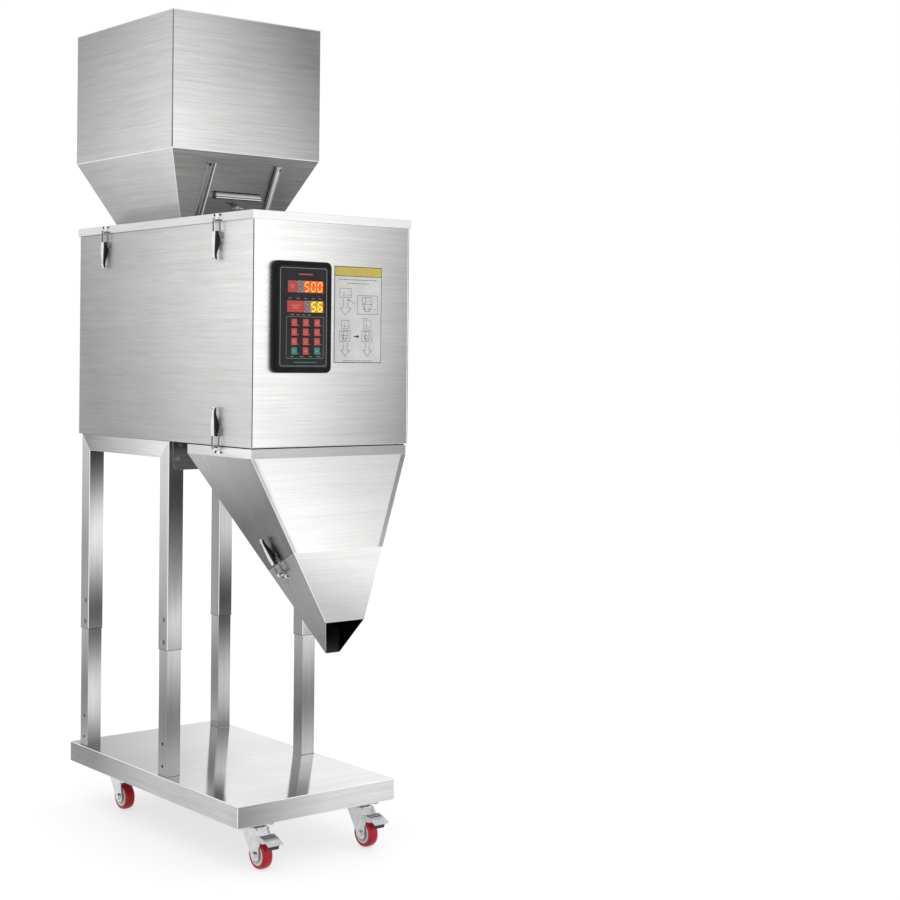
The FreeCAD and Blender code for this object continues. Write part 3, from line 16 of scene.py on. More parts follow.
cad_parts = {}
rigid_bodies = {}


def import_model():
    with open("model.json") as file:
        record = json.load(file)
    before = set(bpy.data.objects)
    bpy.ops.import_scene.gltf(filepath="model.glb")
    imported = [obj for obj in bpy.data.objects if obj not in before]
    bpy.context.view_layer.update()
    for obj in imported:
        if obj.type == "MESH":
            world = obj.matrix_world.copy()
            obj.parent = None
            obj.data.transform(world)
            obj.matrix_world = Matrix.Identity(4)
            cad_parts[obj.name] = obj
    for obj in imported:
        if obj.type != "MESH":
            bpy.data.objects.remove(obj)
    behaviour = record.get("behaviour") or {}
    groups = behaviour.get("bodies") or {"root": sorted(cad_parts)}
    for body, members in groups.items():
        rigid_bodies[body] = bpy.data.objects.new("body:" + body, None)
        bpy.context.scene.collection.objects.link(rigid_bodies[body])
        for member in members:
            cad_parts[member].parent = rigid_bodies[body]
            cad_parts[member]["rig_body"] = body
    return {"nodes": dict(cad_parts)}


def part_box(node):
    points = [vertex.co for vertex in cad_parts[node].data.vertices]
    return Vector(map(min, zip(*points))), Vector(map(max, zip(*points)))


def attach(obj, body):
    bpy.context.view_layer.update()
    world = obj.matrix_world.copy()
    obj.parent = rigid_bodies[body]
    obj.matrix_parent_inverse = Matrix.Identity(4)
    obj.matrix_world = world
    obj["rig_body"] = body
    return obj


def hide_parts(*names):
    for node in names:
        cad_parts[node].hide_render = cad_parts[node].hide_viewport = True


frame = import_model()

log = logging.getLogger("filling_machine")

MM = 0.001
FRONT_Y = -0.358
LID_TOP_Z = 1.3502
CABINET_Z = 0.869
Colour = tuple[float, float, float, float]
Pair = tuple[float, float]


def grey(level: float) -> Colour:
    """A neutral colour of one level."""
    return (level, level, level, 1.0)


class Grain(Enum):
    """Which way the brushing runs: the direction and frequency of three noise coordinates."""

    LEVEL = ((9.0, 0.0, 0.0), (0.0, 9.0, 0.0), (0.0, 0.0, 520.0))
    UPRIGHT = ((620.0, 0.0, 0.0), (0.0, 620.0, 0.0), (0.0, 0.0, 7.0))
    LENGTHWISE = ((420.0, 0.0, 0.0), (0.0, 9.0, 0.0), (0.0, 0.0, 9.0))
    LEANING = ((9.0, 0.0, 0.0), (0.0, 460.0, -76.0), (0.0, 0.0, 11.0))
    SWEPT = ((5.0, 0.0, 0.0), (0.0, 240.0, 0.0), (0.0, 0.0, 9.0))


class ShaderBench:
    """Builds one node material step by step."""

    def __init__(self, name: str) -> None:
        """Starts a material with a principled shader.

        Args:
            name: the material's name.
        """
        self.material = bpy.data.materials.new(name)
        self.material.use_nodes = True
        self.tree = self.material.node_tree
        self.tree.nodes.clear()
        output = self.add("ShaderNodeOutputMaterial")
        self.shader = self.add("ShaderNodeBsdfPrincipled")
        self.link(self.shader.outputs["BSDF"], output.inputs["Surface"])
        self.place = self.add("ShaderNodeTexCoord").outputs["Object"]

    def add(self, kind: str) -> bpy.types.Node:
        """Adds one node of a kind."""
        return self.tree.nodes.new(kind)

    def link(self, start: bpy.types.NodeSocket, end: bpy.types.NodeSocket) -> None:
        """Joins two sockets."""
        self.tree.links.new(start, end)

    def constant(self, socket: str, value: float | Colour) -> None:
        """Sets one constant on the shader by its socket name."""
        self.shader.inputs[socket].default_value = value

    def mapped(self, scale: Sequence[float], turn: Sequence[float] = (0, 0, 0)) -> bpy.types.NodeSocket:
        """Object coordinates scaled and turned.

        Args:
            scale: factors along X, Y and Z.
            turn: rotation in radians.

        Returns:
            The vector socket.
        """
        mapping = self.add("ShaderNodeMapping")
        mapping.inputs["Scale"].default_value = scale
        mapping.inputs["Rotation"].default_value = turn
        self.link(self.place, mapping.inputs["Vector"])
        return mapping.outputs["Vector"]

    def noise(self, vector: bpy.types.NodeSocket, scale: float = 1.0, detail: float = 3.0,
              rough: float = 0.55) -> bpy.types.NodeSocket:
        """Noise at a place in space.

        Args:
            vector: where it is read.
            scale: its frequency.
            detail: octaves.
            rough: weight of the finer octaves.

        Returns:
            The factor socket.
        """
        texture = self.add("ShaderNodeTexNoise")
        texture.inputs["Scale"].default_value = scale
        texture.inputs["Detail"].default_value = detail
        texture.inputs["Roughness"].default_value = rough
        self.link(vector, texture.inputs["Vector"])
        return texture.outputs["Fac"]

    def ranged(self, value: bpy.types.NodeSocket, low: float, high: float, out_low: float,
               out_high: float) -> bpy.types.NodeSocket:
        """Maps one span of values to another.

        Args:
            value: the socket that is read.
            low: start of the span.
            high: end of the span.
            out_low: result at the start.
            out_high: result at the end.

        Returns:
            The result socket.
        """
        node = self.add("ShaderNodeMapRange")
        node.inputs["From Min"].default_value = low
        node.inputs["From Max"].default_value = high
        node.inputs["To Min"].default_value = out_low
        node.inputs["To Max"].default_value = out_high
        self.link(value, node.inputs["Value"])
        return node.outputs["Result"]

    def mixed(self, factor: bpy.types.NodeSocket, first: Colour | bpy.types.NodeSocket,
              second: Colour | bpy.types.NodeSocket, blend: str = "MIX") -> bpy.types.NodeSocket:
        """Mixes two colours.

        Args:
            factor: share of the second colour.
            first: colour or socket.
            second: colour or socket.
            blend: how they are mixed.

        Returns:
            The colour socket.
        """
        node = self.add("ShaderNodeMix")
        node.data_type = "RGBA"
        node.blend_type = blend
        self.link(factor, node.inputs["Factor"])
        if not isinstance(first, bpy.types.NodeSocket):
            node.inputs[6].default_value = first
        else:
            self.link(first, node.inputs[6])
        if not isinstance(second, bpy.types.NodeSocket):
            node.inputs[7].default_value = second
        else:
            self.link(second, node.inputs[7])
        return node.outputs[2]

    def along(self, direction: Vector) -> bpy.types.NodeSocket:
        """Distance along a direction from the origin."""
        node = self.add("ShaderNodeVectorMath")
        node.operation = "DOT_PRODUCT"
        node.inputs[1].default_value = direction
        self.link(self.place, node.inputs[0])
        return node.outputs["Value"]

    def brushed(self, grain: Grain, factor: float) -> bpy.types.NodeSocket:
        """Place measured along the three directions of a grain."""
        joined = self.add("ShaderNodeCombineXYZ")
        for row, socket in zip(grain.value, joined.inputs):
            self.link(self.along(Vector(row) * factor), socket)
        return joined.outputs["Vector"]

    def waved(self, direction: Vector, phase: float, low: float, high: float) -> bpy.types.NodeSocket:
        """A level that swings slowly between two values along a direction."""
        shifted = self.add("ShaderNodeMath")
        shifted.inputs[1].default_value = phase
        self.link(self.along(direction), shifted.inputs[0])
        swing = self.add("ShaderNodeMath")
        swing.operation = "SINE"
        self.link(shifted.outputs["Value"], swing.inputs[0])
        return self.ranged(swing.outputs["Value"], -1.0, 1.0, low, high)

    def product(self, values: Sequence[bpy.types.NodeSocket]) -> bpy.types.NodeSocket:
        """Product of several values."""
        total = values[0]
        for value in values[1:]:
            node = self.add("ShaderNodeMath")
            node.operation = "MULTIPLY"
            self.link(total, node.inputs[0])
            self.link(value, node.inputs[1])
            total = node.outputs["Value"]
        return total

    def bump(self, height: bpy.types.NodeSocket, strength: float, distance: float) -> None:
        """Raises the surface by a height."""
        node = self.add("ShaderNodeBump")
        node.inputs["Strength"].default_value = strength
        node.inputs["Distance"].default_value = distance
        self.link(height, node.inputs["Height"])
        self.link(node.outputs["Normal"], self.shader.inputs["Normal"])


@dataclass(frozen=True)
class BrushedSteel:
    """Stainless sheet with drawn-out brushing and fine scratches, its colour carrying painted light and
    shade: a slow painted gradient, clouds of painted sheen and, where set, painted reflection bands.
    """

    name: str
    # tone and far_tone, run along the given direction over span, set a painted gradient of light and shade;
    # sheen sets clouds of painted sheen; wave, crest and rate set painted reflection bands along Z, brightest
    # at the crest.
    tone: float = 0.62
    far_tone: float = 0.62
    painted_light_way: tuple[float, float, float] = (0.0, 0.0, 1.0)
    span: Pair = (0.0, 1.0)
    grain: Grain = Grain.LEVEL
    roughness: float = 0.30
    anisotropy: float = 0.55
    contrast: float = 0.18
    sheen: float = 0.06
    wave: float = 0.0
    crest: float = 0.0
    rate: float = 0.0
    sheen_scale: tuple[float, float, float] = (3.0, 3.0, 3.0)

    def make(self) -> bpy.types.Material:
        """Builds the material."""
        bench = ShaderBench(self.name)
        streaks = bench.noise(bench.brushed(self.grain, 1.0), 1.0, 4.0, 0.6)
        bands = bench.noise(bench.brushed(self.grain, 0.21), 1.0, 2.0, 0.5)
        fine = bench.noise(bench.brushed(self.grain, 3.1), 1.0, 2.0, 0.5)
        # Clouds of painted sheen: lighter and darker patches of painted reflection.
        clouds = bench.noise(bench.mapped(self.sheen_scale), 1.0, 2.0, 0.5)
        # Painted light and shade: the colour runs from tone to far_tone along the given direction.
        share = bench.ranged(bench.along(Vector(self.painted_light_way)), self.span[0], self.span[1], 0.0, 1.0)
        near = (self.tone, self.tone * 0.998, self.tone * 0.992, 1.0)
        far = (self.far_tone, self.far_tone * 0.998, self.far_tone * 0.992, 1.0)
        body = bench.mixed(share, near, far)
        half = self.contrast / 2
        levels = [bench.ranged(streaks, 0.32, 0.68, 1.0 - half, 1.0 + half),
                  bench.ranged(bands, 0.3, 0.7, 1.0 - half / 2, 1.0 + half / 2),
                  bench.ranged(clouds, 0.3, 0.7, 1.0 - self.sheen, 1.0 + self.sheen)]
        # Painted reflection bands that swing up and down the tube, brightest at the crest height.
        if self.wave > 0:
            phase = math.pi / 2 - self.rate * self.crest
            levels.append(bench.waved(Vector((0, 0, self.rate)), phase, 1.0 - self.wave, 1.0 + self.wave))
        shade = bench.add("ShaderNodeVectorMath")
        shade.operation = "SCALE"
        bench.link(body, shade.inputs[0])
        bench.link(bench.product(levels), shade.inputs["Scale"])
        bench.link(shade.outputs["Vector"], bench.shader.inputs["Base Color"])
        bench.link(bench.ranged(fine, 0.3, 0.7, self.roughness * 0.85, self.roughness * 1.2),
                   bench.shader.inputs["Roughness"])
        bench.constant("Metallic", 1.0)
        bench.constant("Anisotropic", self.anisotropy)
        if self.grain is Grain.UPRIGHT:
            bench.constant("Anisotropic Rotation", 0.25)
        tangent = bench.add("ShaderNodeTangent")
        tangent.direction_type = "RADIAL"
        tangent.axis = "Z"
        bench.link(tangent.outputs["Tangent"], bench.shader.inputs["Tangent"])
        bench.bump(fine, 0.10, 0.0002)
        return bench.material


@dataclass(frozen=True)
class PlatedMetal:
    """Bright plated steel with handling marks and slightly duller patches."""

    name: str
    colour: Colour = (0.74, 0.75, 0.77, 1.0)
    roughness: float = 0.16
    mottle: float = 60.0

    def make(self) -> bpy.types.Material:
        """Builds the material."""
        bench = ShaderBench(self.name)
        cloud = bench.noise(bench.mapped((self.mottle,) * 3), 1.0, 4.0, 0.6)
        scratch = bench.noise(bench.mapped((900.0, 140.0, 900.0)), 1.0, 2.0, 0.5)
        dull = tuple(c * 0.86 for c in self.colour[:3]) + (1.0,)
        bench.link(bench.mixed(bench.ranged(cloud, 0.35, 0.65, 0.0, 1.0), self.colour, dull),
                   bench.shader.inputs["Base Color"])
        bench.link(bench.ranged(cloud, 0.3, 0.7, self.roughness * 0.7, self.roughness * 1.5),
                   bench.shader.inputs["Roughness"])
        bench.constant("Metallic", 1.0)
        bench.bump(scratch, 0.06, 0.0002)
        return bench.material


@dataclass(frozen=True)
class Moulded:
    """Moulded plastic, rubber or paint with a fine grain and faint colour variation."""

    name: str
    colour: Colour
    roughness: float = 0.45
    grain: float = 900.0
    depth: float = 0.15
    coat: float = 0.0
    specular: float = 0.5

    def make(self) -> bpy.types.Material:
        """Builds the material."""
        bench = ShaderBench(self.name)
        pebble = bench.noise(bench.mapped((self.grain,) * 3), 1.0, 2.0, 0.5)
        cloud = bench.noise(bench.mapped((22.0, 22.0, 22.0)), 1.0, 3.0, 0.55)
        worn = tuple(min(c * 1.14 + 0.006, 1.0) for c in self.colour[:3]) + (1.0,)
        bench.link(bench.mixed(bench.ranged(cloud, 0.35, 0.7, 0.0, 1.0), self.colour, worn),
                   bench.shader.inputs["Base Color"])
        bench.link(bench.ranged(pebble, 0.3, 0.7, self.roughness * 0.88, self.roughness * 1.12),
                   bench.shader.inputs["Roughness"])
        bench.constant("Specular IOR Level", self.specular)
        bench.constant("Coat Weight", self.coat)
        bench.bump(pebble, self.depth, 0.0002)
        return bench.material


@dataclass(frozen=True)
class LitFilm:
    """Printed or lit film of a display: a colour that glows a little, with a fine screen."""

    name: str
    colour: Colour
    glow: float = 0.0
    roughness: float = 0.28

    def make(self) -> bpy.types.Material:
        """Builds the material."""
        bench = ShaderBench(self.name)
        screen = bench.noise(bench.mapped((420.0, 420.0, 420.0)), 1.0, 2.0, 0.5)
        dim = tuple(c * 0.84 for c in self.colour[:3]) + (1.0,)
        colour = bench.mixed(bench.ranged(screen, 0.35, 0.65, 0.0, 1.0), self.colour, dim)
        bench.link(colour, bench.shader.inputs["Base Color"])
        if self.glow > 0:
            bench.link(colour, bench.shader.inputs["Emission Color"])
            bench.constant("Emission Strength", self.glow)
        bench.link(bench.ranged(screen, 0.3, 0.7, self.roughness * 0.9, self.roughness * 1.15),
                   bench.shader.inputs["Roughness"])
        return bench.material


@dataclass(frozen=True)
class Patch:
    """A finish for those faces of a solid that look one way, lie beyond a plane and in a band of heights."""

    finish: BrushedSteel | PlatedMetal | Moulded
    facing: tuple[float, float, float]
    beyond: float = -9.0
    band: Pair = (-9.0, 9.0)
    reach: float = 0.8

    def holds(self, face: bmesh.types.BMFace) -> bool:
        """Whether a face takes this finish."""
        way = Vector(self.facing)
        middle = face.calc_center_median()
        inside = middle.dot(way) > self.beyond and self.band[0] < middle.z < self.band[1]
        return inside and face.normal.dot(way) > self.reach


@dataclass(frozen=True)
class Finishes:
    """Every finish of the machine, made once."""

    made: dict[str, bpy.types.Material] = field(default_factory=dict)

    def get(self, recipe: BrushedSteel | PlatedMetal | Moulded | LitFilm) -> bpy.types.Material:
        """The material of a recipe, built on first use.

        Args:
            recipe: the finish wanted.

        Returns:
            Its material.
        """
        if recipe.name not in self.made:
            self.made[recipe.name] = recipe.make()
        return self.made[recipe.name]


FINISHES = Finishes()
# Cabinet: shell and front panel carry painted light and shade, each a gradient from its tone to its far tone;
# the lid's front faces take a lighter copy of the lid steel, a painted highlight.
SIDE_STEEL = BrushedSteel("cabinet_side_steel", 0.35, 0.88, (0, -1, 0.484), (0.194, 1.069), roughness=0.50,
                          contrast=0.15)
FRONT_STEEL = BrushedSteel("cabinet_front_steel", 0.99, 0.25, (1, 0, -0.17), (-0.428, 0.055), contrast=0.15)
LID_STEEL = BrushedSteel("lid_steel", 0.66, 0.66, contrast=0.12)
LID_FRONT = BrushedSteel("lid_front_steel", 0.90, 0.66, (1, 0, 0), (-0.2, 0.2), contrast=0.08)
# Hopper: lit and shaded copies of one steel for faces that look each way, each with a painted gradient of
# light and shade. The gate is a dark copy, painted shade on a face that looks down; the rails carry a faint
# painted gradient; the lip runs from painted shade to a painted highlight over its bend.
BIN_SIDE = BrushedSteel("hopper_side_steel", 0.285, 0.64, (0, -1, -1.017), (-2.248, -1.52), contrast=0.18)
BIN_FRONT = BrushedSteel("hopper_front_steel", 0.72, 0.21, (1, 0, 0.574), (0.69, 1.18), contrast=0.20,
                         sheen=0.08)
BIN_INSIDE = BrushedSteel("hopper_inside_steel", 0.50, 0.50)
CONE_SIDE = BrushedSteel("cone_side_steel", 0.37, 0.60, (0, -1, 1.051), (1.18, 1.56), contrast=0.16)
CONE_FRONT = BrushedSteel("cone_front_steel", 0.38, 0.20, (1, 0, 0), (-0.17, 0.12), contrast=0.34)
GATE_STEEL = BrushedSteel("gate_steel", 0.165, 0.18, roughness=0.24, contrast=0.30)
RAIL_STEEL = BrushedSteel("rail_steel", 0.44, 0.46, (0, 0, 1), (1.3, 1.5), grain=Grain.UPRIGHT, contrast=0.20)
LIP_STEEL = BrushedSteel("gate_lip_steel", 0.16, 0.56, (0, 0, -1), (-1.4215, -1.4130), contrast=0.08)
# Collar, funnel and spout: lit and shaded copies of one steel by the way their faces look, each with a
# painted gradient of light and shade; the three hem tones are painted light and shade on one folded hem.
COLLAR_SIDE = BrushedSteel("collar_side_steel", 0.62, 0.80, (0, -1, 0), (0.1, 0.35), contrast=0.12)
COLLAR_FRONT = BrushedSteel("collar_front_steel", 0.52, 0.29, (1, 0, 0), (-0.12, 0.2), contrast=0.14)
FUNNEL_FRONT = BrushedSteel("funnel_front_steel", 0.86, 0.44, (1, 0, 0.45), (0.19, 0.60), roughness=0.28,
                            contrast=0.10)
SPOUT_FRONT = BrushedSteel("spout_front_steel", 0.74, 0.46, (-0.35, 0, -1), (-0.64, -0.53), roughness=0.28,
                           contrast=0.10)
FUNNEL_SIDE = BrushedSteel("funnel_side_steel", 0.18, 0.47, (0, 0.4, 1), (0.60, 0.772), grain=Grain.LEANING,
                           contrast=0.18)
SPOUT_SIDE = BrushedSteel("spout_side_steel", 0.30, 0.46, (0, 0, -1), (-0.66, -0.47), grain=Grain.LEANING,
                          contrast=0.16)
FUNNEL_REAR = BrushedSteel("funnel_rear_steel", 0.50, 0.44, (0, 0, -1), (-0.85, -0.45))
# Near-black painted shade for the inside of the funnel and the spout.
FUNNEL_INSIDE_SHADE = BrushedSteel("funnel_inside_painted_shade", 0.045, 0.045, roughness=0.4)
HEM_GREY = BrushedSteel("hem_grey_steel", 0.46, 0.56, (0, 0, -1), (-0.85, -0.65), grain=Grain.LEANING)
HEM_PALE = BrushedSteel("hem_pale_steel", 0.70, 0.78, (0, 0, -1), (-0.85, -0.65), grain=Grain.LEANING)
HEM_DARK = BrushedSteel("hem_dark_steel", 0.22, 0.34, (0, 0, -1), (-0.85, -0.65), grain=Grain.LEANING)
# Tubes and legs: lit and shaded copies of one steel for front, rear and side faces, with painted gradients of
# light and shade and, on the uprights, painted reflection bands. The cross plate is a dark copy, painted
# shade under the cabinet.
TUBE_FRONT = BrushedSteel("tube_front_steel", 0.40, 0.40, grain=Grain.UPRIGHT, roughness=0.22, anisotropy=0.0,
                          contrast=0.20, wave=0.62, crest=0.53, rate=13.1)
TUBE_REAR = BrushedSteel("tube_rear_steel", 0.45, 0.28, (1, 0, 0), (-0.16, 0.16), grain=Grain.UPRIGHT,
                         roughness=0.22, anisotropy=0.0, contrast=0.20, wave=0.74, crest=0.65, rate=16.0)
LEG_FRONT = BrushedSteel("leg_front_steel", 0.38, 0.38, grain=Grain.UPRIGHT, roughness=0.22, anisotropy=0.0,
                         contrast=0.20, wave=0.45, crest=0.43, rate=19.0)
LEG_REAR = BrushedSteel("leg_rear_steel", 0.43, 0.28, (1, 0, 0), (-0.16, 0.16), grain=Grain.UPRIGHT,
                        roughness=0.22, anisotropy=0.0, contrast=0.20, wave=0.70, crest=0.25, rate=18.5)
LEG_SIDE = BrushedSteel("leg_side_steel", 0.28, 0.28, grain=Grain.UPRIGHT, roughness=0.24, anisotropy=0.0,
                        contrast=0.20, wave=0.28, crest=0.43, rate=19.0)
TUBE_SIDE = BrushedSteel("tube_side_steel", 0.29, 0.62, (-0.5, -0.45, 1), (0.549, 0.949), grain=Grain.UPRIGHT,
                         roughness=0.24, anisotropy=0.0, contrast=0.20)
RAIL_SIDE = BrushedSteel("frame_rail_steel", 0.24, 0.74, (0, -1, 0), (-0.34, 0.0), roughness=0.24,
                         contrast=0.16)
CROSS_STEEL = BrushedSteel("cross_plate_steel", 0.20, 0.24, contrast=0.24)
# Painted highlight on the tubes' chamfers, mitres and softened edges.
TUBE_EDGE_HIGHLIGHT = BrushedSteel("tube_edge_painted_highlight", 0.88, 0.88, grain=Grain.UPRIGHT, anisotropy=0.0, contrast=0.05)
# Platform: lit and shaded copies of one steel for top, sides and front, each with a painted gradient; on the
# top it is a painted reflection.
TRAY_TOP = BrushedSteel("platform_top_steel", 0.20, 0.76, (1, -1, 0), (-0.50, 0.05), grain=Grain.SWEPT,
                        roughness=0.08, anisotropy=0.0, contrast=0.10, sheen=0.10)
TRAY_SIDE = BrushedSteel("platform_side_steel", 0.25, 0.56, (0, -1, 0), (-0.28, -0.03), sheen=0.12)
TRAY_FRONT = BrushedSteel("platform_front_steel", 0.28, 0.64, (1, 0, 0), (-0.2, 0.02), sheen=0.08)
INSIDE_STEEL = BrushedSteel("inside_steel", 0.55, 0.55, grain=Grain.LENGTHWISE, roughness=0.3)
# Painted highlight for thin lines along folds, bends, edges, corners and joints.
FOLD_HIGHLIGHT = BrushedSteel("painted_fold_highlight", 0.92, 0.92, roughness=0.34, anisotropy=0.0, contrast=0.05)
BRIGHT = PlatedMetal("bright_pressed_steel", (0.78, 0.78, 0.79, 1.0), 0.18)
# Painted shade on the levers: near black on the shaded flank, grey on the tails and on the latch plates'
# outward faces.
LEVER_DARK = PlatedMetal("lever_flank_painted_shade", (0.035, 0.035, 0.037, 1.0), 0.24)
LEVER_TAIL_SHADE = PlatedMetal("lever_tail_painted_shade", (0.30, 0.30, 0.31, 1.0), 0.24)
LATCH_WIRE = PlatedMetal("latch_wire", (0.19, 0.19, 0.195, 1.0), 0.12)
WING_STEEL = PlatedMetal("wing_steel", (0.50, 0.50, 0.51, 1.0), 0.10)
ZINC = PlatedMetal("bright_zinc", (0.70, 0.71, 0.72, 1.0), 0.12)
CHROME = PlatedMetal("polished_plate", (0.60, 0.61, 0.62, 1.0), 0.08)
SCREW_STEEL = PlatedMetal("screw_steel", (0.42, 0.42, 0.43, 1.0), 0.22)
# Blackened steel for screw heads; also painted shadow round the upper legs' lower ends and painted shade
# between the pedal ridges.
DARK_STEEL_AND_SHADE = PlatedMetal("blackened_steel_and_painted_shade", (0.07, 0.07, 0.075, 1.0), 0.28)
# Near-black painted shade in closing gaps, beside the gate rails and along the gate lip.
GAP_SHADE = Moulded("painted_gap_shade", (0.022, 0.022, 0.024, 1), 0.6)
TYRE_RED = Moulded("red_polyurethane", (0.56, 0.006, 0.020, 1), 0.28, 500.0, 0.05, specular=0.35)
RIM_WHITE = Moulded("white_rim", (0.86, 0.86, 0.85, 1), 0.4)
HUB_GREY = Moulded("grey_hub", (0.60, 0.61, 0.61, 1), 0.42)
PAD_BLACK = Moulded("black_pad", (0.018, 0.018, 0.02, 1), 0.5)
BEZEL = Moulded("bezel_black", (0.004, 0.004, 0.005, 1), 0.42, 1400.0, 0.10, specular=0.12)
MEMBRANE = Moulded("membrane_grey", (0.021, 0.024, 0.027, 1), 0.40, 1600.0, 0.05, specular=0.14)
LINE_GREY = LitFilm("printed_line", (0.50, 0.52, 0.53, 1), 0.0)
LEGEND = LitFilm("printed_legend", (0.30, 0.31, 0.32, 1), 0.0)
KEY_RED = Moulded("key_red", (0.62, 0.045, 0.035, 1), 0.32, 1200.0, 0.04, 0.3)
KEY_GREEN = Moulded("key_green", (0.0, 0.24, 0.13, 1), 0.32, 1200.0, 0.04, 0.3)
MARK = LitFilm("key_mark", (0.72, 0.36, 0.31, 1), 0.0)
WINDOW_RED = LitFilm("display_red", (0.55, 0.045, 0.03, 1), 0.15)
WINDOW_GREY = LitFilm("display_unlit", (0.34, 0.32, 0.32, 1), 0.0)
UNLIT = LitFilm("segment_unlit", (0.05, 0.045, 0.05, 1), 0.0)
WINDOW_HOT = LitFilm("display_lit_red", (0.75, 0.07, 0.01, 1), 0.55)
WINDOW_AMBER = LitFilm("display_lit_amber", (0.62, 0.25, 0.01, 1), 0.45)
DIGIT_ORANGE = LitFilm("segment_orange", (1.0, 0.50, 0.05, 1), 1.1)
DIGIT_YELLOW = LitFilm("segment_yellow", (1.0, 0.80, 0.06, 1), 1.1)
CARD = Moulded("card_white", (0.74, 0.74, 0.73, 1), 0.4, 700.0, 0.03)
CARD_YELLOW = Moulded("card_yellow", (0.66, 0.52, 0.09, 1), 0.4, 700.0, 0.03)
CARD_INK = Moulded("card_ink", (0.02, 0.02, 0.024, 1), 0.5, 700.0, 0.02)
CARD_FAINT = Moulded("card_faint_ink", (0.09, 0.095, 0.11, 1), 0.5, 700.0, 0.02)
RUBBER = Moulded("gasket_rubber", (0.02, 0.02, 0.02, 1), 0.6)
SHELF_PAINT = Moulded("shelf_paint", (0.36, 0.37, 0.39, 1), 0.4, 500.0, 0.2)
DARK_IRON = Moulded("dark_iron", (0.05, 0.05, 0.055, 1), 0.5, 400.0, 0.3)
BOARD_GREEN = Moulded("board_green", (0.03, 0.16, 0.07, 1), 0.35)
INLET_BLACK = Moulded("inlet_black", (0.02, 0.02, 0.02, 1), 0.42)
MILLED = BrushedSteel("milled_aluminium", 0.72, 0.72, grain=Grain.LENGTHWISE, roughness=0.3)


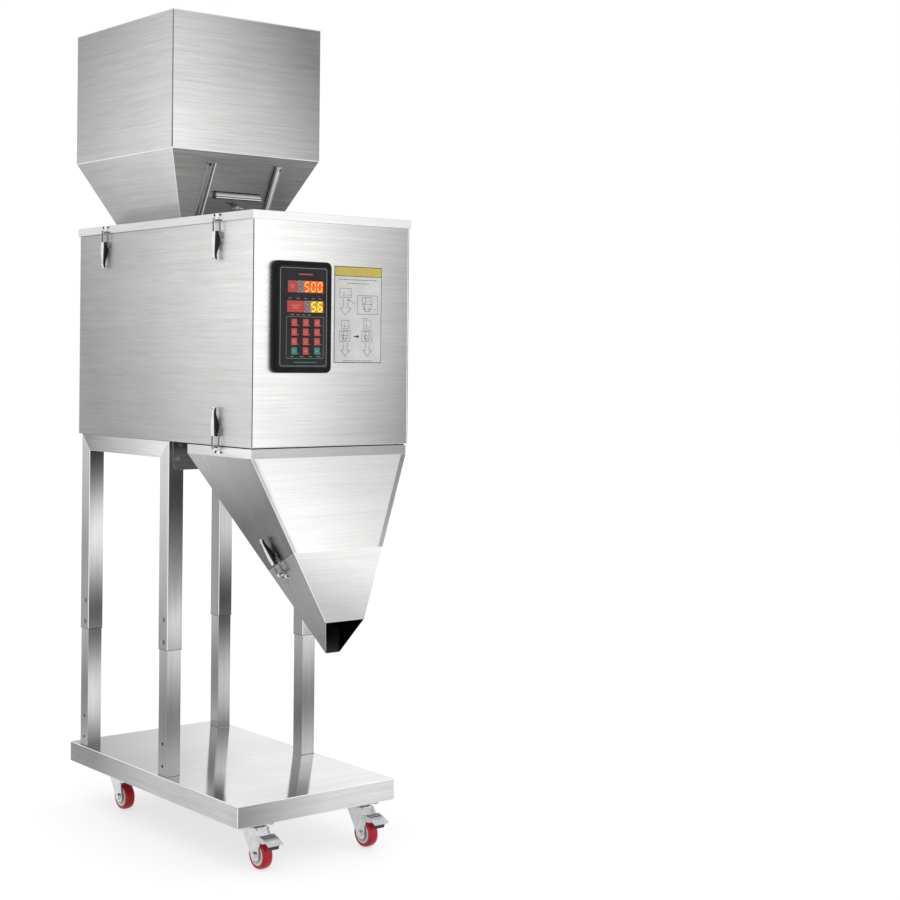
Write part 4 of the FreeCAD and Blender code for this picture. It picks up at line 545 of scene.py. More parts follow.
class Forge:
    """Turns meshes into named pieces that ride on a body."""

    @staticmethod
    def settle(name: str, form: bmesh.types.BMesh, finish: object, body: str, bevel: float = 0.0,
               stands_for: Iterable[str] = (), slot: str = "", others: Sequence[object] = (),
               edge: int = -1) -> bpy.types.Object:
        """Makes the piece's object, dresses it and seats it on its body.

        Args:
            name: the piece's name.
            form: its mesh, used up by this call.
            finish: the recipe of its finish.
            body: the body it moves with.
            bevel: width of its softened edges, or zero.
            stands_for: the solids it is shown in place of.
            slot: the record's slot for its finish; not used.
            others: the finishes of faces with a material index above zero.
            edge: the material index of the softened edges, or -1 for that of their neighbours.

        Returns:
            The new object.
        """
        bmesh.ops.recalc_face_normals(form, faces=form.faces)
        mesh = bpy.data.meshes.new(name)
        form.to_mesh(mesh)
        form.free()
        piece = bpy.data.objects.new(name, mesh)
        bpy.context.scene.collection.objects.link(piece)
        for recipe in (finish, *others):
            mesh.materials.append(FINISHES.get(recipe))
        mesh.shade_smooth()
        mesh.set_sharp_from_angle(angle=math.radians(32))
        if bevel > 0:
            soft = piece.modifiers.new("soft_edges", "BEVEL")
            soft.width = bevel
            soft.segments = 2
            soft.material = edge
            soft.limit_method = "ANGLE"
            soft.angle_limit = math.radians(32)
            soft.use_clamp_overlap = True
            soft.harden_normals = True
        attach(piece, body)
        nodes = list(stands_for)
        if nodes:
            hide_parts(*nodes)
        log.info("%s rides on %s", name, body)
        return piece

    @staticmethod
    def soften(node: str, finish: object, bevel: float = 0.0005, slot: str = "brushed_steel",
               patches: Sequence[Patch] = (), edge: BrushedSteel | None = None) -> bpy.types.Object:
        """Shows a solid with softened edges and a finish.

        Args:
            node: the solid's name.
            finish: the recipe of its finish.
            bevel: width of the softened edges.
            slot: the record's slot for its finish.
            patches: finishes of single faces; the first one that holds a face is taken.
            edge: the finish of its softened edges, where it has one of its own.

        Returns:
            The piece that stands for the solid.
        """
        solid = frame["nodes"][node]
        form = bmesh.new()
        form.from_mesh(solid.data)
        bmesh.ops.remove_doubles(form, verts=form.verts, dist=0.000004)
        bmesh.ops.dissolve_limit(form, angle_limit=math.radians(0.6), verts=form.verts, edges=form.edges)
        form.normal_update()
        for face in form.faces:
            face.material_index = next((i for i, patch in enumerate(patches, 1) if patch.holds(face)), 0)
        others = [patch.finish for patch in patches] + ([edge] if edge else [])
        return Forge.settle(node + "_sheet", form, finish, solid["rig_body"], bevel, [node], slot, others,
                            len(others) if edge else -1)

    @staticmethod
    def dress(node: str, finish: object) -> None:
        """Gives a solid that is shown as it is its finish."""
        mesh = frame["nodes"][node].data
        mesh.materials.clear()
        mesh.materials.append(FINISHES.get(finish))

    @staticmethod
    def prism(form: bmesh.types.BMesh, outline: Sequence[Vector], sweep: Vector) -> None:
        """Adds a flat polygon pushed along a vector."""
        low = [form.verts.new(p) for p in outline]
        high = [form.verts.new(p + sweep) for p in outline]
        form.faces.new(low)
        form.faces.new(high[::-1])
        count = len(outline)
        for i in range(count):
            j = (i + 1) % count
            form.faces.new((low[i], high[i], high[j], low[j]))

    @staticmethod
    def bar(form: bmesh.types.BMesh, start: Vector, end: Vector, wide: Vector, tall: Vector) -> None:
        """Adds a bar between two points, centred, with a full width and a full height vector."""
        corner = start - wide / 2 - tall / 2
        Forge.prism(form, [corner, corner + wide, corner + wide + tall, corner + tall], end - start)

    @staticmethod
    def plate(form: bmesh.types.BMesh, x0: float, x1: float, z0: float, z1: float, back: float,
              front: float) -> None:
        """Adds an upright plate in the machine's front, in millimetres of X, height and depth."""
        outline = [Vector((x * MM, back * MM, z * MM)) for x, z in ((x0, z0), (x1, z0), (x1, z1), (x0, z1))]
        Forge.prism(form, outline, Vector((0, (front - back) * MM, 0)))

    @staticmethod
    def rounded(form: bmesh.types.BMesh, x0: float, x1: float, z0: float, z1: float, radius: float,
                back: float, front: float, steps: int = 8) -> None:
        """Adds an upright plate with round corners, in millimetres."""
        outline = []
        corners = ((x1 - radius, z0 + radius, -90), (x1 - radius, z1 - radius, 0),
                   (x0 + radius, z1 - radius, 90), (x0 + radius, z0 + radius, 180))
        for cx, cz, start in corners:
            for i in range(steps + 1):
                angle = math.radians(start + 90 * i / steps)
                outline.append(Vector(((cx + radius * math.cos(angle)) * MM, back * MM,
                                       (cz + radius * math.sin(angle)) * MM)))
        Forge.prism(form, outline, Vector((0, (front - back) * MM, 0)))

    @staticmethod
    def outline_loop(form: bmesh.types.BMesh, x0: float, x1: float, z0: float, z1: float, radius: float,
                     width: float, back: float, front: float, steps: int = 6) -> None:
        """Adds a closed raised line round a rectangle with round corners, in millimetres."""
        rings = []
        for inset in (0.0, width):
            r = max(radius - inset, 0.05)
            ring = []
            a, b, c, d = x0 + inset, x1 - inset, z0 + inset, z1 - inset
            for cx, cz, start in ((b - r, c + r, -90), (b - r, d - r, 0), (a + r, d - r, 90),
                                  (a + r, c + r, 180)):
                for i in range(steps + 1):
                    angle = math.radians(start + 90 * i / steps)
                    ring.append((cx + r * math.cos(angle), cz + r * math.sin(angle)))
            rings.append(ring)
        levels = []
        for depth in (back, front):
            for ring in rings:
                levels.append([form.verts.new((x * MM, depth * MM, z * MM)) for x, z in ring])
        count = len(rings[0])
        for first, second in ((0, 1), (1, 3), (3, 2), (2, 0)):
            for i in range(count):
                j = (i + 1) % count
                form.faces.new((levels[first][i], levels[first][j], levels[second][j], levels[second][i]))

    @staticmethod
    def lathe(form: bmesh.types.BMesh, profile: Sequence[Pair], centre: Vector, axis: Vector,
              steps: int = 40) -> None:
        """Adds a turned body.

        Args:
            form: the mesh that it is added to.
            profile: closed loop of radius and height pairs.
            centre: origin of the heights.
            axis: unit direction of the heights.
            steps: facets round the axis.
        """
        side = axis.orthogonal().normalized()
        other = axis.cross(side)
        rings = []
        for i in range(steps):
            angle = 2 * math.pi * i / steps
            out = side * math.cos(angle) + other * math.sin(angle)
            rings.append([form.verts.new(centre + out * max(r, 0.00002) + axis * h) for r, h in profile])
        count = len(profile)
        for i in range(steps):
            here, there = rings[i], rings[(i + 1) % steps]
            for k in range(count):
                m = (k + 1) % count
                form.faces.new((here[k], here[m], there[m], there[k]))

    @staticmethod
    def screw_head(form: bmesh.types.BMesh, centre: Vector, out: Vector, radius: float,
                   height: float) -> None:
        """Adds a domed head with a hexagon socket."""
        rim = [(radius, 0.0), (radius, height * 0.35), (radius * 0.86, height * 0.78),
               (radius * 0.60, height),
               (radius * 0.46, height), (radius * 0.42, height * 0.4), (0.0, height * 0.4), (0.0, 0.0)]
        Forge.lathe(form, rim, centre, out, 24)

    @staticmethod
    def square_tube(form: bmesh.types.BMesh, across: Pair, other: Pair, wall: float, place: Callable,
                    kinds: Pair = (0, 2)) -> None:
        """Adds a square tube with narrow chamfers, which take the second finish.

        Args:
            form: the mesh that it is added to.
            across: its span in X.
            other: its span in the other direction across it.
            wall: thickness of its wall.
            place: gives the point of an end, zero or one, from X and the other direction.
            kinds: material indexes of the faces that look along the other direction and along X.
        """
        rings = []
        for end, inset, cut in ((0, 0.0, 0.0011), (1, 0.0, 0.0011), (1, wall, 0.0004), (0, wall, 0.0004)):
            a, b = across[0] + inset, across[1] - inset
            c, d = other[0] + inset, other[1] - inset
            loop = [(a + cut, c), (b - cut, c), (b, c + cut), (b, d - cut), (b - cut, d), (a + cut, d),
                    (a, d - cut), (a, c + cut)]
            rings.append([form.verts.new(place(end, x, y)) for x, y in loop])
        for index in range(4):
            near, far = rings[index], rings[(index + 1) % 4]
            for k in range(8):
                m = (k + 1) % 8
                face = form.faces.new((near[k], near[m], far[m], far[k]))
                edge = 0 if index else 1
                face.material_index = edge if k % 2 else kinds[1] if k in (2, 6) else kinds[0]

    @staticmethod
    def round_line(form: bmesh.types.BMesh, start: Vector, end: Vector, radius: float) -> None:
        """Adds a thin round line between two points."""
        axis = end - start
        length = axis.length
        Forge.lathe(form, [(radius, 0), (radius, length), (0, length), (0, 0)], start, axis.normalized(), 10)


@dataclass
class Cabinet:
    """The folded cabinet, its front cover, lid, rear overlap strips and, at its front corners, painted shade
    and painted highlight lines.
    """

    half: float = 0.200
    front: float = FRONT_Y
    rear: float = 0.380
    low: float = CABINET_Z
    high: float = 1.349
    seam: float = 1.5

    def build(self) -> None:
        """Builds the cabinet's visible pieces."""
        Forge.soften("cabinet_shell", SIDE_STEEL, 0.0008)
        Forge.soften("front_panel", FRONT_STEEL, 0.0005)
        # The lid's front faces take a lighter copy of the lid steel: a painted highlight.
        Forge.soften("lid", LID_STEEL, 0.0003, patches=[Patch(LID_FRONT, (0, -1, 0), 0.3)])
        self.corner_seams()
        self.rear_seam()

    def corner_seams(self) -> None:
        """Painted shade in the closing gap, as a black strip, and a painted highlight on the fold, at the two
        front corners.
        """
        seams = bmesh.new()
        folds = bmesh.new()
        for sign in (-1, 1):
            x = sign * (self.half - 0.0007)
            start = Vector((x, self.front - 0.0006, self.low + 0.002))
            end = Vector((x, self.front - 0.0006, self.high - 0.019))
            Forge.bar(seams, start, end, Vector((0.0013, 0, 0)), Vector((0, 0.0011, 0)))
            x = sign * (self.half - 0.0027)
            start = Vector((x, self.front - 0.0013, self.low + 0.0020))
            end = Vector((x, self.front - 0.0013, self.high - 0.019))
            Forge.bar(folds, start, end, Vector((0.0016, 0, 0)), Vector((0, 0.0006, 0)))
        Forge.settle("cabinet_corner_seams", seams, GAP_SHADE, "upper_unit", 0.0002, slot="brushed_steel")
        Forge.settle("cabinet_corner_folds", folds, FOLD_HIGHLIGHT, "upper_unit", 0.0002, slot="brushed_steel")

    def rear_seam(self) -> None:
        """Overlap strip and its spot-weld marks on the cabinet's rear."""
        strip = bmesh.new()
        for sign in (-1, 1):
            start = Vector((sign * 0.185, self.rear + 0.0003, self.low + 0.01))
            end = Vector((sign * 0.185, self.rear + 0.0003, self.high - 0.03))
            Forge.bar(strip, start, end, Vector((0.018, 0, 0)), Vector((0, 0.0008, 0)))
            for i in range(9):
                z = self.low + 0.04 + i * 0.05
                Forge.lathe(strip, [(0.0028, 0), (0.0024, 0.0003), (0, 0.0002), (0, 0)],
                            Vector((sign * 0.185, self.rear + 0.0006, z)), Vector((0, 1, 0)), 16)
        Forge.settle("cabinet_rear_strips", strip, SIDE_STEEL, "upper_unit", 0.0002, slot="brushed_steel")


@dataclass
class Hopper:
    """The bin and cone, painted highlights on their folds and painted shade in their seams, and the slide
    gate on the cone's front face.
    """

    half: float = 0.196
    front: float = -0.029
    rear: float = 0.411
    knee: float = 1.5052
    top: float = 1.8072
    foot: float = 1.3514
    inset_x: float = 72.0 / 155.0
    inset_y: float = 80.0 / 155.0
    line: float = 0.0016

    def ring(self, z: float, inset: float = 0.0) -> list[Vector]:
        """Outer corners at one height, starting front left, moved in by an inset."""
        drop = max(self.knee - z, 0.0)
        half = self.half - drop * self.inset_x - inset
        front = self.front + drop * self.inset_y + inset
        rear = self.rear - drop * self.inset_y - inset
        return [Vector((-half, front, z)), Vector((half, front, z)), Vector((half, rear, z)),
                Vector((-half, rear, z))]

    def build(self) -> None:
        """Builds the hopper's visible pieces."""
        bin_band = (self.knee, 9.0)
        cone_band = (0.0, self.knee)
        # Faces of the one hopper steel take lit and shaded copies by the way they look: painted light and
        # shade.
        patches = [Patch(CONE_FRONT, (0, -0.8886, -0.4587), band=cone_band)]
        for sign in (-1, 1):
            patches.append(Patch(BIN_SIDE, (sign, 0, 0), 0.15, bin_band))
            patches.append(Patch(CONE_SIDE, (sign * 0.907, 0, -0.421), band=cone_band))
        patches.append(Patch(BIN_FRONT, (0, -1, 0), -0.1, bin_band))
        patches.append(Patch(BIN_SIDE, (0, 1, 0), 0.3, bin_band))
        Forge.soften("hopper", BIN_INSIDE, 0.0007, patches=patches)
        Forge.soften("gate_rails", RAIL_STEEL, 0.0003)
        # The gate's bent lip faces take the lip steel: painted shade turning to a painted highlight.
        Forge.soften("gate_plate", GATE_STEEL, 0.0004,
                     patches=[Patch(LIP_STEEL, (0, -0.85, 0.52), reach=0.6)])
        self.rail_edges()
        self.lip_roll()
        Forge.soften("gate_wing_bolt", WING_STEEL, 0.0005, "dark_wing")
        self.folds()
        self.seams()
        self.rail_screws()

    def folds(self) -> None:
        """Painted highlights along the folds of the rim, the knee and the cone's corners."""
        folds = bmesh.new()
        for z in (self.top - 0.0011, self.knee):
            corners = self.ring(z, 0.0009)
            for i in range(4):
                Forge.round_line(folds, corners[i], corners[(i + 1) % 4], 0.0011)
        for low, high in zip(self.ring(self.foot, 0.0004), self.ring(self.knee, 0.0006)):
            Forge.round_line(folds, low, high, 0.0009)
        Forge.settle("hopper_folds", folds, FOLD_HIGHLIGHT, "upper_unit", slot="brushed_steel")

    def seams(self) -> None:
        """Painted shade in the closing gaps at the two corners where the bin's sheets meet."""
        seams = bmesh.new()
        for corner in self.ring(self.knee, 0.0011)[::2]:
            end = Vector((corner.x, corner.y, self.top - 0.003))
            Forge.round_line(seams, corner + Vector((0, 0, 0.003)), end, 0.0013)
        Forge.settle("hopper_seams", seams, GAP_SHADE, "upper_unit", slot="brushed_steel")

    def on_gate(self, x: float, up: float, out: float) -> Vector:
        """A point given in millimetres across, up and off the cone's front face."""
        slope = math.atan2(80.0, 155.0)
        rise = Vector((0, -math.sin(slope), math.cos(slope)))
        off = Vector((0, -math.cos(slope), -math.sin(slope)))
        return Vector((x * MM, FRONT_Y + 0.409, LID_TOP_Z)) + rise * up * MM + off * out * MM

    def rail_edges(self) -> None:
        """Painted shadow in the gap along the left of each rail's cover and a painted highlight on the bend
        along its right.
        """
        dark, pale = bmesh.new(), bmesh.new()
        for left, right in ((-88.4, -79.8), (79.8, 88.4)):
            for form, near, far in ((dark, left, left + 1.3), (pale, right - 2.5, right)):
                strip = [self.on_gate(x, up, 7.9) for x, up in ((near, 2.0), (far, 2.0), (far, 151.0),
                                                                (near, 151.0))]
                Forge.prism(form, strip, self.on_gate(0, 0, 0.35) - self.on_gate(0, 0, 0))
        Forge.settle("gate_rail_shadows", dark, GAP_SHADE, "upper_unit", slot="brushed_steel")
        Forge.settle("gate_rail_edges", pale, FOLD_HIGHLIGHT, "upper_unit", slot="brushed_steel")

    def lip_roll(self) -> None:
        """Rolled lip along the gate's top, running from painted shade to a painted highlight over its bend,
        with a painted shade line along it and a painted highlight on its lower edge.
        """
        form, edge = bmesh.new(), bmesh.new()
        steps = [(81.5, 2.4), (81.0, 4.6), (79.6, 7.0), (77.4, 9.6), (74.8, 11.8), (72.2, 13.0)]
        for near, far in zip(steps, steps[1:]):
            outline = [self.on_gate(-60, *near), self.on_gate(60, *near), self.on_gate(60, *far),
                       self.on_gate(-60, *far)]
            Forge.prism(form, outline, self.on_gate(0, -1.0, -0.8) - self.on_gate(0, 0, 0))
        for x in (-60.0, 60.0):
            outline = [self.on_gate(x, *point) for point in steps] + [self.on_gate(x, 71.5, 2.4)]
            Forge.prism(form, outline, Vector((math.copysign(0.001, -x), 0, 0)))
        Forge.round_line(edge, self.on_gate(-60.5, 71.9, 12.9), self.on_gate(60.5, 71.9, 12.9), 0.0009)
        Forge.settle("gate_lip_roll", form, LIP_STEEL, "gate", slot="brushed_steel")
        Forge.settle("gate_lip_edge", edge, FOLD_HIGHLIGHT, "gate", slot="brushed_steel")
        # A thin dark line along the lip: painted shade.
        shade_line = bmesh.new()
        Forge.round_line(shade_line, self.on_gate(-59.8, 74.6, 12.1), self.on_gate(59.8, 74.6, 12.1), 0.0008)
        Forge.settle("gate_lip_groove", shade_line, GAP_SHADE, "gate", slot="brushed_steel")

    def rail_screws(self) -> None:
        """Dark socket heads at the top of both rails."""
        slope = math.atan2(80.0, 155.0)
        up = Vector((0, -math.sin(slope), math.cos(slope)))
        out = Vector((0, -math.cos(slope), -math.sin(slope)))
        base = Vector((0, FRONT_Y + 0.409, LID_TOP_Z))
        heads = bmesh.new()
        for sign in (-1, 1):
            centre = base + up * 0.145 + out * 0.0034 + Vector((sign * 0.0926, 0, 0))
            Forge.screw_head(heads, centre, out, 0.0038, 0.0016)
        Forge.settle("gate_rail_screws", heads, DARK_STEEL_AND_SHADE, "upper_unit", slot="bright_steel")


@dataclass
class Funnel:
    """The discharge funnel, its gasket, the spout and the painted highlight on their joint line."""

    half: float = 0.198
    top: float = 0.847
    front: float = FRONT_Y + 0.002
    rear: float = FRONT_Y + 0.2495
    side_slope: float = 148.0 / 335.0
    front_slope: float = 55.0 / 335.0
    rear_slope: float = 259.5 / 408.0
    seam: float = 0.655
    tilt: float = math.radians(22.4)

    def corner(self, sign: int, at_front: bool, z: float) -> Vector:
        """Outer corner of the funnel at one height."""
        drop = self.top - z
        y = self.front - drop * self.front_slope if at_front else self.rear - drop * self.rear_slope
        return Vector((sign * (self.half - drop * self.side_slope), y, z))

    def build(self) -> None:
        """Builds the funnel's visible pieces."""
        front, walls = (0, -0.987, -0.162), (0.0, 0.843)
        collar = (0.843, 9.0)
        # Faces of the one steel take lit and shaded copies by the way they look: painted light and shade.
        funnel = [Patch(COLLAR_FRONT, (0, -1, 0), 0.3, collar), Patch(FUNNEL_FRONT, front, band=walls)]
        spout = [Patch(SPOUT_FRONT, front)]
        for sign in (-1, 1):
            funnel.append(Patch(COLLAR_SIDE, (sign, 0, 0), 0.195, collar))
            side = (sign * 0.9147, 0, -0.4041)
            funnel.append(Patch(FUNNEL_SIDE, side, band=walls))
            spout.append(Patch(SPOUT_SIDE, side))
        rear = (0, 0.844, -0.537)
        funnel.append(Patch(FUNNEL_REAR, rear))
        spout.append(Patch(FUNNEL_REAR, rear))
        # Faces no patch takes, chiefly the inside, are near black: painted shade in the hollow.
        Forge.soften("funnel", FUNNEL_INSIDE_SHADE, 0.0006, patches=funnel)
        Forge.soften("spout", FUNNEL_INSIDE_SHADE, 0.0005, patches=spout)
        self.hems()
        Forge.dress("funnel_gasket", RUBBER)
        self.joint_line()

    def hems(self) -> None:
        """Folded hems down both edges of the front wall in three tones of painted light and shade, and
        painted highlights on the front edges of the funnel and the spout.
        """
        off = Vector((0, -0.987, -0.162)) * 0.0006
        strips = (("left_grey", -1, 0.8, 6.5, HEM_GREY), ("left_pale", -1, 6.5, 13.0, HEM_PALE),
                  ("right", 1, 0.8, 11.0, HEM_DARK))
        for name, sign, near, wide, finish in strips:
            form = bmesh.new()
            inward = Vector((-sign * MM, 0, 0))
            top, low = self.corner(sign, True, self.top - 0.0005), self.corner(sign, True, self.seam + 0.001)
            outline = [top + inward * near, top + inward * wide, low + inward * wide, low + inward * near]
            Forge.prism(form, outline, off)
            Forge.settle("funnel_hem_" + name, form, finish, "upper_unit", slot="brushed_steel")
        edges = bmesh.new()
        for sign in (-1, 1):
            inward = Vector((-sign * 0.0004, 0.0004, 0))
            for high, low, radius in ((self.seam, 0.513, 0.0007), (self.top, self.seam, 0.0005)):
                start, end = self.corner(sign, True, high), self.corner(sign, True, low)
                Forge.round_line(edges, start + inward, end + inward, radius)
        Forge.settle("funnel_front_edges", edges, FOLD_HIGHLIGHT, "upper_unit", slot="brushed_steel")

    def joint_line(self) -> None:
        """Hairline of painted highlight where the spout slips into the funnel."""
        line = bmesh.new()
        front_y = self.corner(1, True, self.seam).y
        fall = math.tan(self.tilt)
        rear_z = self.seam
        for _ in range(12):
            rear_z = self.seam - (self.corner(1, False, rear_z).y - front_y) * fall
        for sign in (-1, 1):
            Forge.round_line(line, self.corner(sign, True, self.seam), self.corner(sign, False, rear_z),
                             0.0005)
        Forge.round_line(line, self.corner(-1, True, self.seam), self.corner(1, True, self.seam), 0.0004)
        Forge.round_line(line, self.corner(-1, False, rear_z), self.corner(1, False, rear_z), 0.0004)
        Forge.settle("spout_joint_line", line, FOLD_HIGHLIGHT, "upper_unit", slot="brushed_steel")


SEGMENTS = {"0": "abcdef", "5": "acdfg", "6": "acdefg", "8": "abcdefg"}


@dataclass
class Controller:
    """The controller: bezel, membrane, two displays, lamps, keys and printed lines."""

    face: float = -371.0
    left: float = -145.7
    right: float = -22.3
    low: float = 1031.5
    high: float = 1239.9
    columns: tuple[float, ...] = (-107.0, -78.5, -50.0)
    rows: tuple[float, ...] = (1124.2, 1104.9, 1085.6, 1066.3)
    key: float = 7.0

    def build(self) -> None:
        """Builds the controller's pieces."""
        Forge.soften("control_housing", BEZEL, 0.0008, "panel_frame")
        sheet = bmesh.new()
        Forge.rounded(sheet, self.left, self.right, self.low, self.high, 5.0, self.face + 0.8, self.face)
        Forge.settle("control_membrane", sheet, MEMBRANE, "upper_unit", 0.0002, ["control_faceplate"],
                     "panel_face")
        self.lines()
        self.display("upper", "500", -123.5, -101.0, -84.5, -35.5, 1186.0, 1210.0, WINDOW_HOT, DIGIT_ORANGE)
        self.display("lower", "56", -125.0, -83.0, -67.0, -35.0, 1145.5, 1169.0, WINDOW_AMBER, DIGIT_YELLOW)
        self.keys()
        self.legends()

    def panel_piece(self, name: str, form: bmesh.types.BMesh, finish: object, bevel: float = 0.0) -> None:
        """Seats one piece on the controller."""
        Forge.settle("control_" + name, form, finish, "upper_unit", bevel, slot="panel_face")

    def lines(self) -> None:
        """Light printed lines round the membrane and round the keys."""
        form = bmesh.new()
        Forge.outline_loop(form, -142.0, -26.0, 1035.2, 1236.2, 4.0, 0.7, self.face, self.face - 0.12)
        Forge.outline_loop(form, -126.5, -33.5, 1051.0, 1136.5, 2.0, 0.45, self.face, self.face - 0.10)
        self.panel_piece("lines", form, LINE_GREY)

    def display(self, name: str, digits: str, left: float, block: float, lit: float, right: float, low: float,
                high: float, glow: LitFilm, digit: LitFilm) -> None:
        """Adds one display: a red block, one unlit place and the lit places.

        Args:
            name: which display it is.
            digits: the lit digits.
            left: left edge of the red block.
            block: right edge of the red block.
            lit: left edge of the lit window.
            right: right edge of the lit window.
            low: bottom edge.
            high: top edge.
            glow: finish behind the lit digits.
            digit: finish of the lit segments.
        """
        face = self.face
        form = bmesh.new()
        Forge.rounded(form, left, block, low, high, 0.8, face, face - 0.25)
        self.panel_piece(name + "_block", form, WINDOW_RED, 0.0001)
        form = bmesh.new()
        Forge.plate(form, block + 0.8, lit - 0.5, low, high, face, face - 0.22)
        self.panel_piece(name + "_unlit_place", form, WINDOW_GREY)
        form = bmesh.new()
        Forge.plate(form, lit, right, low, high, face, face - 0.25)
        self.panel_piece(name + "_window", form, glow)
        form = bmesh.new()
        middle = (block + lit) / 2
        self.segments(form, "8", middle, (low + high) / 2, 8.6, (high - low) * 0.72, face - 0.22)
        self.panel_piece(name + "_unlit_digit", form, UNLIT)
        form = bmesh.new()
        pitch = (right - lit) / len(digits)
        for index, figure in enumerate(digits):
            self.segments(form, figure, lit + pitch * (index + 0.5), (low + high) / 2, 9.4,
                          (high - low) * 0.76, face - 0.25)
        self.panel_piece(name + "_digits", form, digit)
        form = bmesh.new()
        for step, width in ((2.2, 0.5), (-2.4, 0.34)):
            centre = (left + block) / 2
            reach = (block - left) * width / 2
            Forge.plate(form, centre - reach, centre + reach, (low + high) / 2 + step - 0.7,
                        (low + high) / 2 + step + 0.7, face - 0.25, face - 0.30)
        self.panel_piece(name + "_block_marks", form, MARK)

    @staticmethod
    def segments(form: bmesh.types.BMesh, figure: str, x: float, z: float, width: float, height: float,
                 back: float) -> None:
        """Adds the lit segments of one digit, leaning slightly."""
        half_w, half_h = width / 2, height / 2
        thick = width * 0.11
        gap = width * 0.05
        flat = {"a": half_h, "g": 0.0, "d": -half_h}
        upright = {"f": (-half_w, half_h, 0.0), "b": (half_w, half_h, 0.0), "e": (-half_w, 0.0, -half_h),
                   "c": (half_w, 0.0, -half_h)}
        for name in SEGMENTS[figure]:
            if name in flat:
                y = flat[name]
                a, b = -half_w + gap + thick * 0.4, half_w - gap - thick * 0.4
                points = [(a, y), (a + thick, y + thick), (b - thick, y + thick), (b, y),
                          (b - thick, y - thick), (a + thick, y - thick)]
            else:
                u, top, low = upright[name]
                a, b = top - gap - thick * 0.4, low + gap + thick * 0.4
                points = [(u, a), (u + thick, a - thick), (u + thick, b + thick), (u, b),
                          (u - thick, b + thick), (u - thick, a - thick)]
            outline = [Vector(((x + px + pz * 0.09) * MM, back * MM, (z + pz) * MM)) for px, pz in points]
            Forge.prism(form, outline, Vector((0, -0.10 * MM, 0)))

    def keys(self) -> None:
        """Twelve raised keys with their generic marks."""
        red, green, marks = bmesh.new(), bmesh.new(), bmesh.new()
        for r, z in enumerate(self.rows):
            for c, x in enumerate(self.columns):
                form = green if r == 3 and c != 1 else red
                Forge.rounded(form, x - self.key, x + self.key, z - self.key - 0.4, z + self.key + 0.4, 1.4,
                              self.face + 0.3, self.face - 0.6)
                self.mark(marks, x, z, r * 3 + c)
        self.panel_piece("keys_red", red, KEY_RED, 0.0003)
        self.panel_piece("keys_green", green, KEY_GREEN, 0.0003)
        self.panel_piece("key_marks", marks, MARK)

    def mark(self, form: bmesh.types.BMesh, x: float, z: float, index: int) -> None:
        """Adds a plain mark to one key: a bar, an arrowhead, a square or a slanted stroke."""
        back, front = self.face - 0.6, self.face - 0.66
        kind = index % 4
        if kind == 0:
            Forge.plate(form, x - 2.2, x + 2.2, z - 0.5, z + 0.5, back, front)
            return
        if kind == 1:
            points = [(-2.4, -2.0), (-1.6, -2.6), (2.4, 2.0), (1.6, 2.6)]
        elif kind == 2:
            points = [(-1.7, -1.7), (1.7, -1.7), (1.7, 1.7), (-1.7, 1.7)]
        else:
            points = [(-2.2, -1.6), (2.2, -1.6), (0.0, 2.2)]
        outline = [Vector(((x + px) * MM, back * MM, (z + pz) * MM)) for px, pz in points]
        Forge.prism(form, outline, Vector((0, (front - back) * MM, 0)))

    def legends(self) -> None:
        """Plain dashes where a panel carries its small print, and five lamps."""
        face = self.face
        dashes = bmesh.new()
        for z in self.rows:
            for x in self.columns:
                Forge.plate(dashes, x + self.key + 0.8, x + self.key + 4.6, z - 6.0, z - 4.9, face,
                            face - 0.05)
        for x, width in ((-112.0, 7.0), (-88.0, 9.0), (-66.0, 6.0), (-46.0, 10.0)):
            Forge.plate(dashes, x - width / 2, x + width / 2, 1054.3, 1055.5, face, face - 0.05)
        for x in (-118.0, -98.0, -79.0, -60.0, -43.0):
            Forge.plate(dashes, x - 4.0, x + 4.0, 1173.0, 1174.2, face, face - 0.05)
        for x in (-112.0, -98.0, -84.0, -70.0):
            Forge.plate(dashes, x - 4.5, x + 4.5, 1139.6, 1140.8, face, face - 0.05)
        self.panel_piece("legend_dashes", dashes, LEGEND)
        lamps = bmesh.new()
        for x in (-114.0, -97.0, -80.0, -63.0, -46.0):
            Forge.lathe(lamps, [(0.0011, 0), (0.0009, 0.0005), (0, 0.0007), (0, 0)],
                        Vector((x * MM, face * MM, 1178.6 * MM)), Vector((0, -1, 0)), 16)
        self.panel_piece("lamps", lamps, CARD_FAINT)
        name_bar = bmesh.new()
        Forge.rounded(name_bar, -97.0, -61.0, 1222.0, 1224.6, 1.2, face, face - 0.06)
        self.panel_piece("header_bar", name_bar, KEY_RED)
        foot_bar = bmesh.new()
        Forge.rounded(foot_bar, -108.0, -50.0, 1042.2, 1043.8, 0.7, face, face - 0.06)
        self.panel_piece("footer_bar", foot_bar, KEY_GREEN)


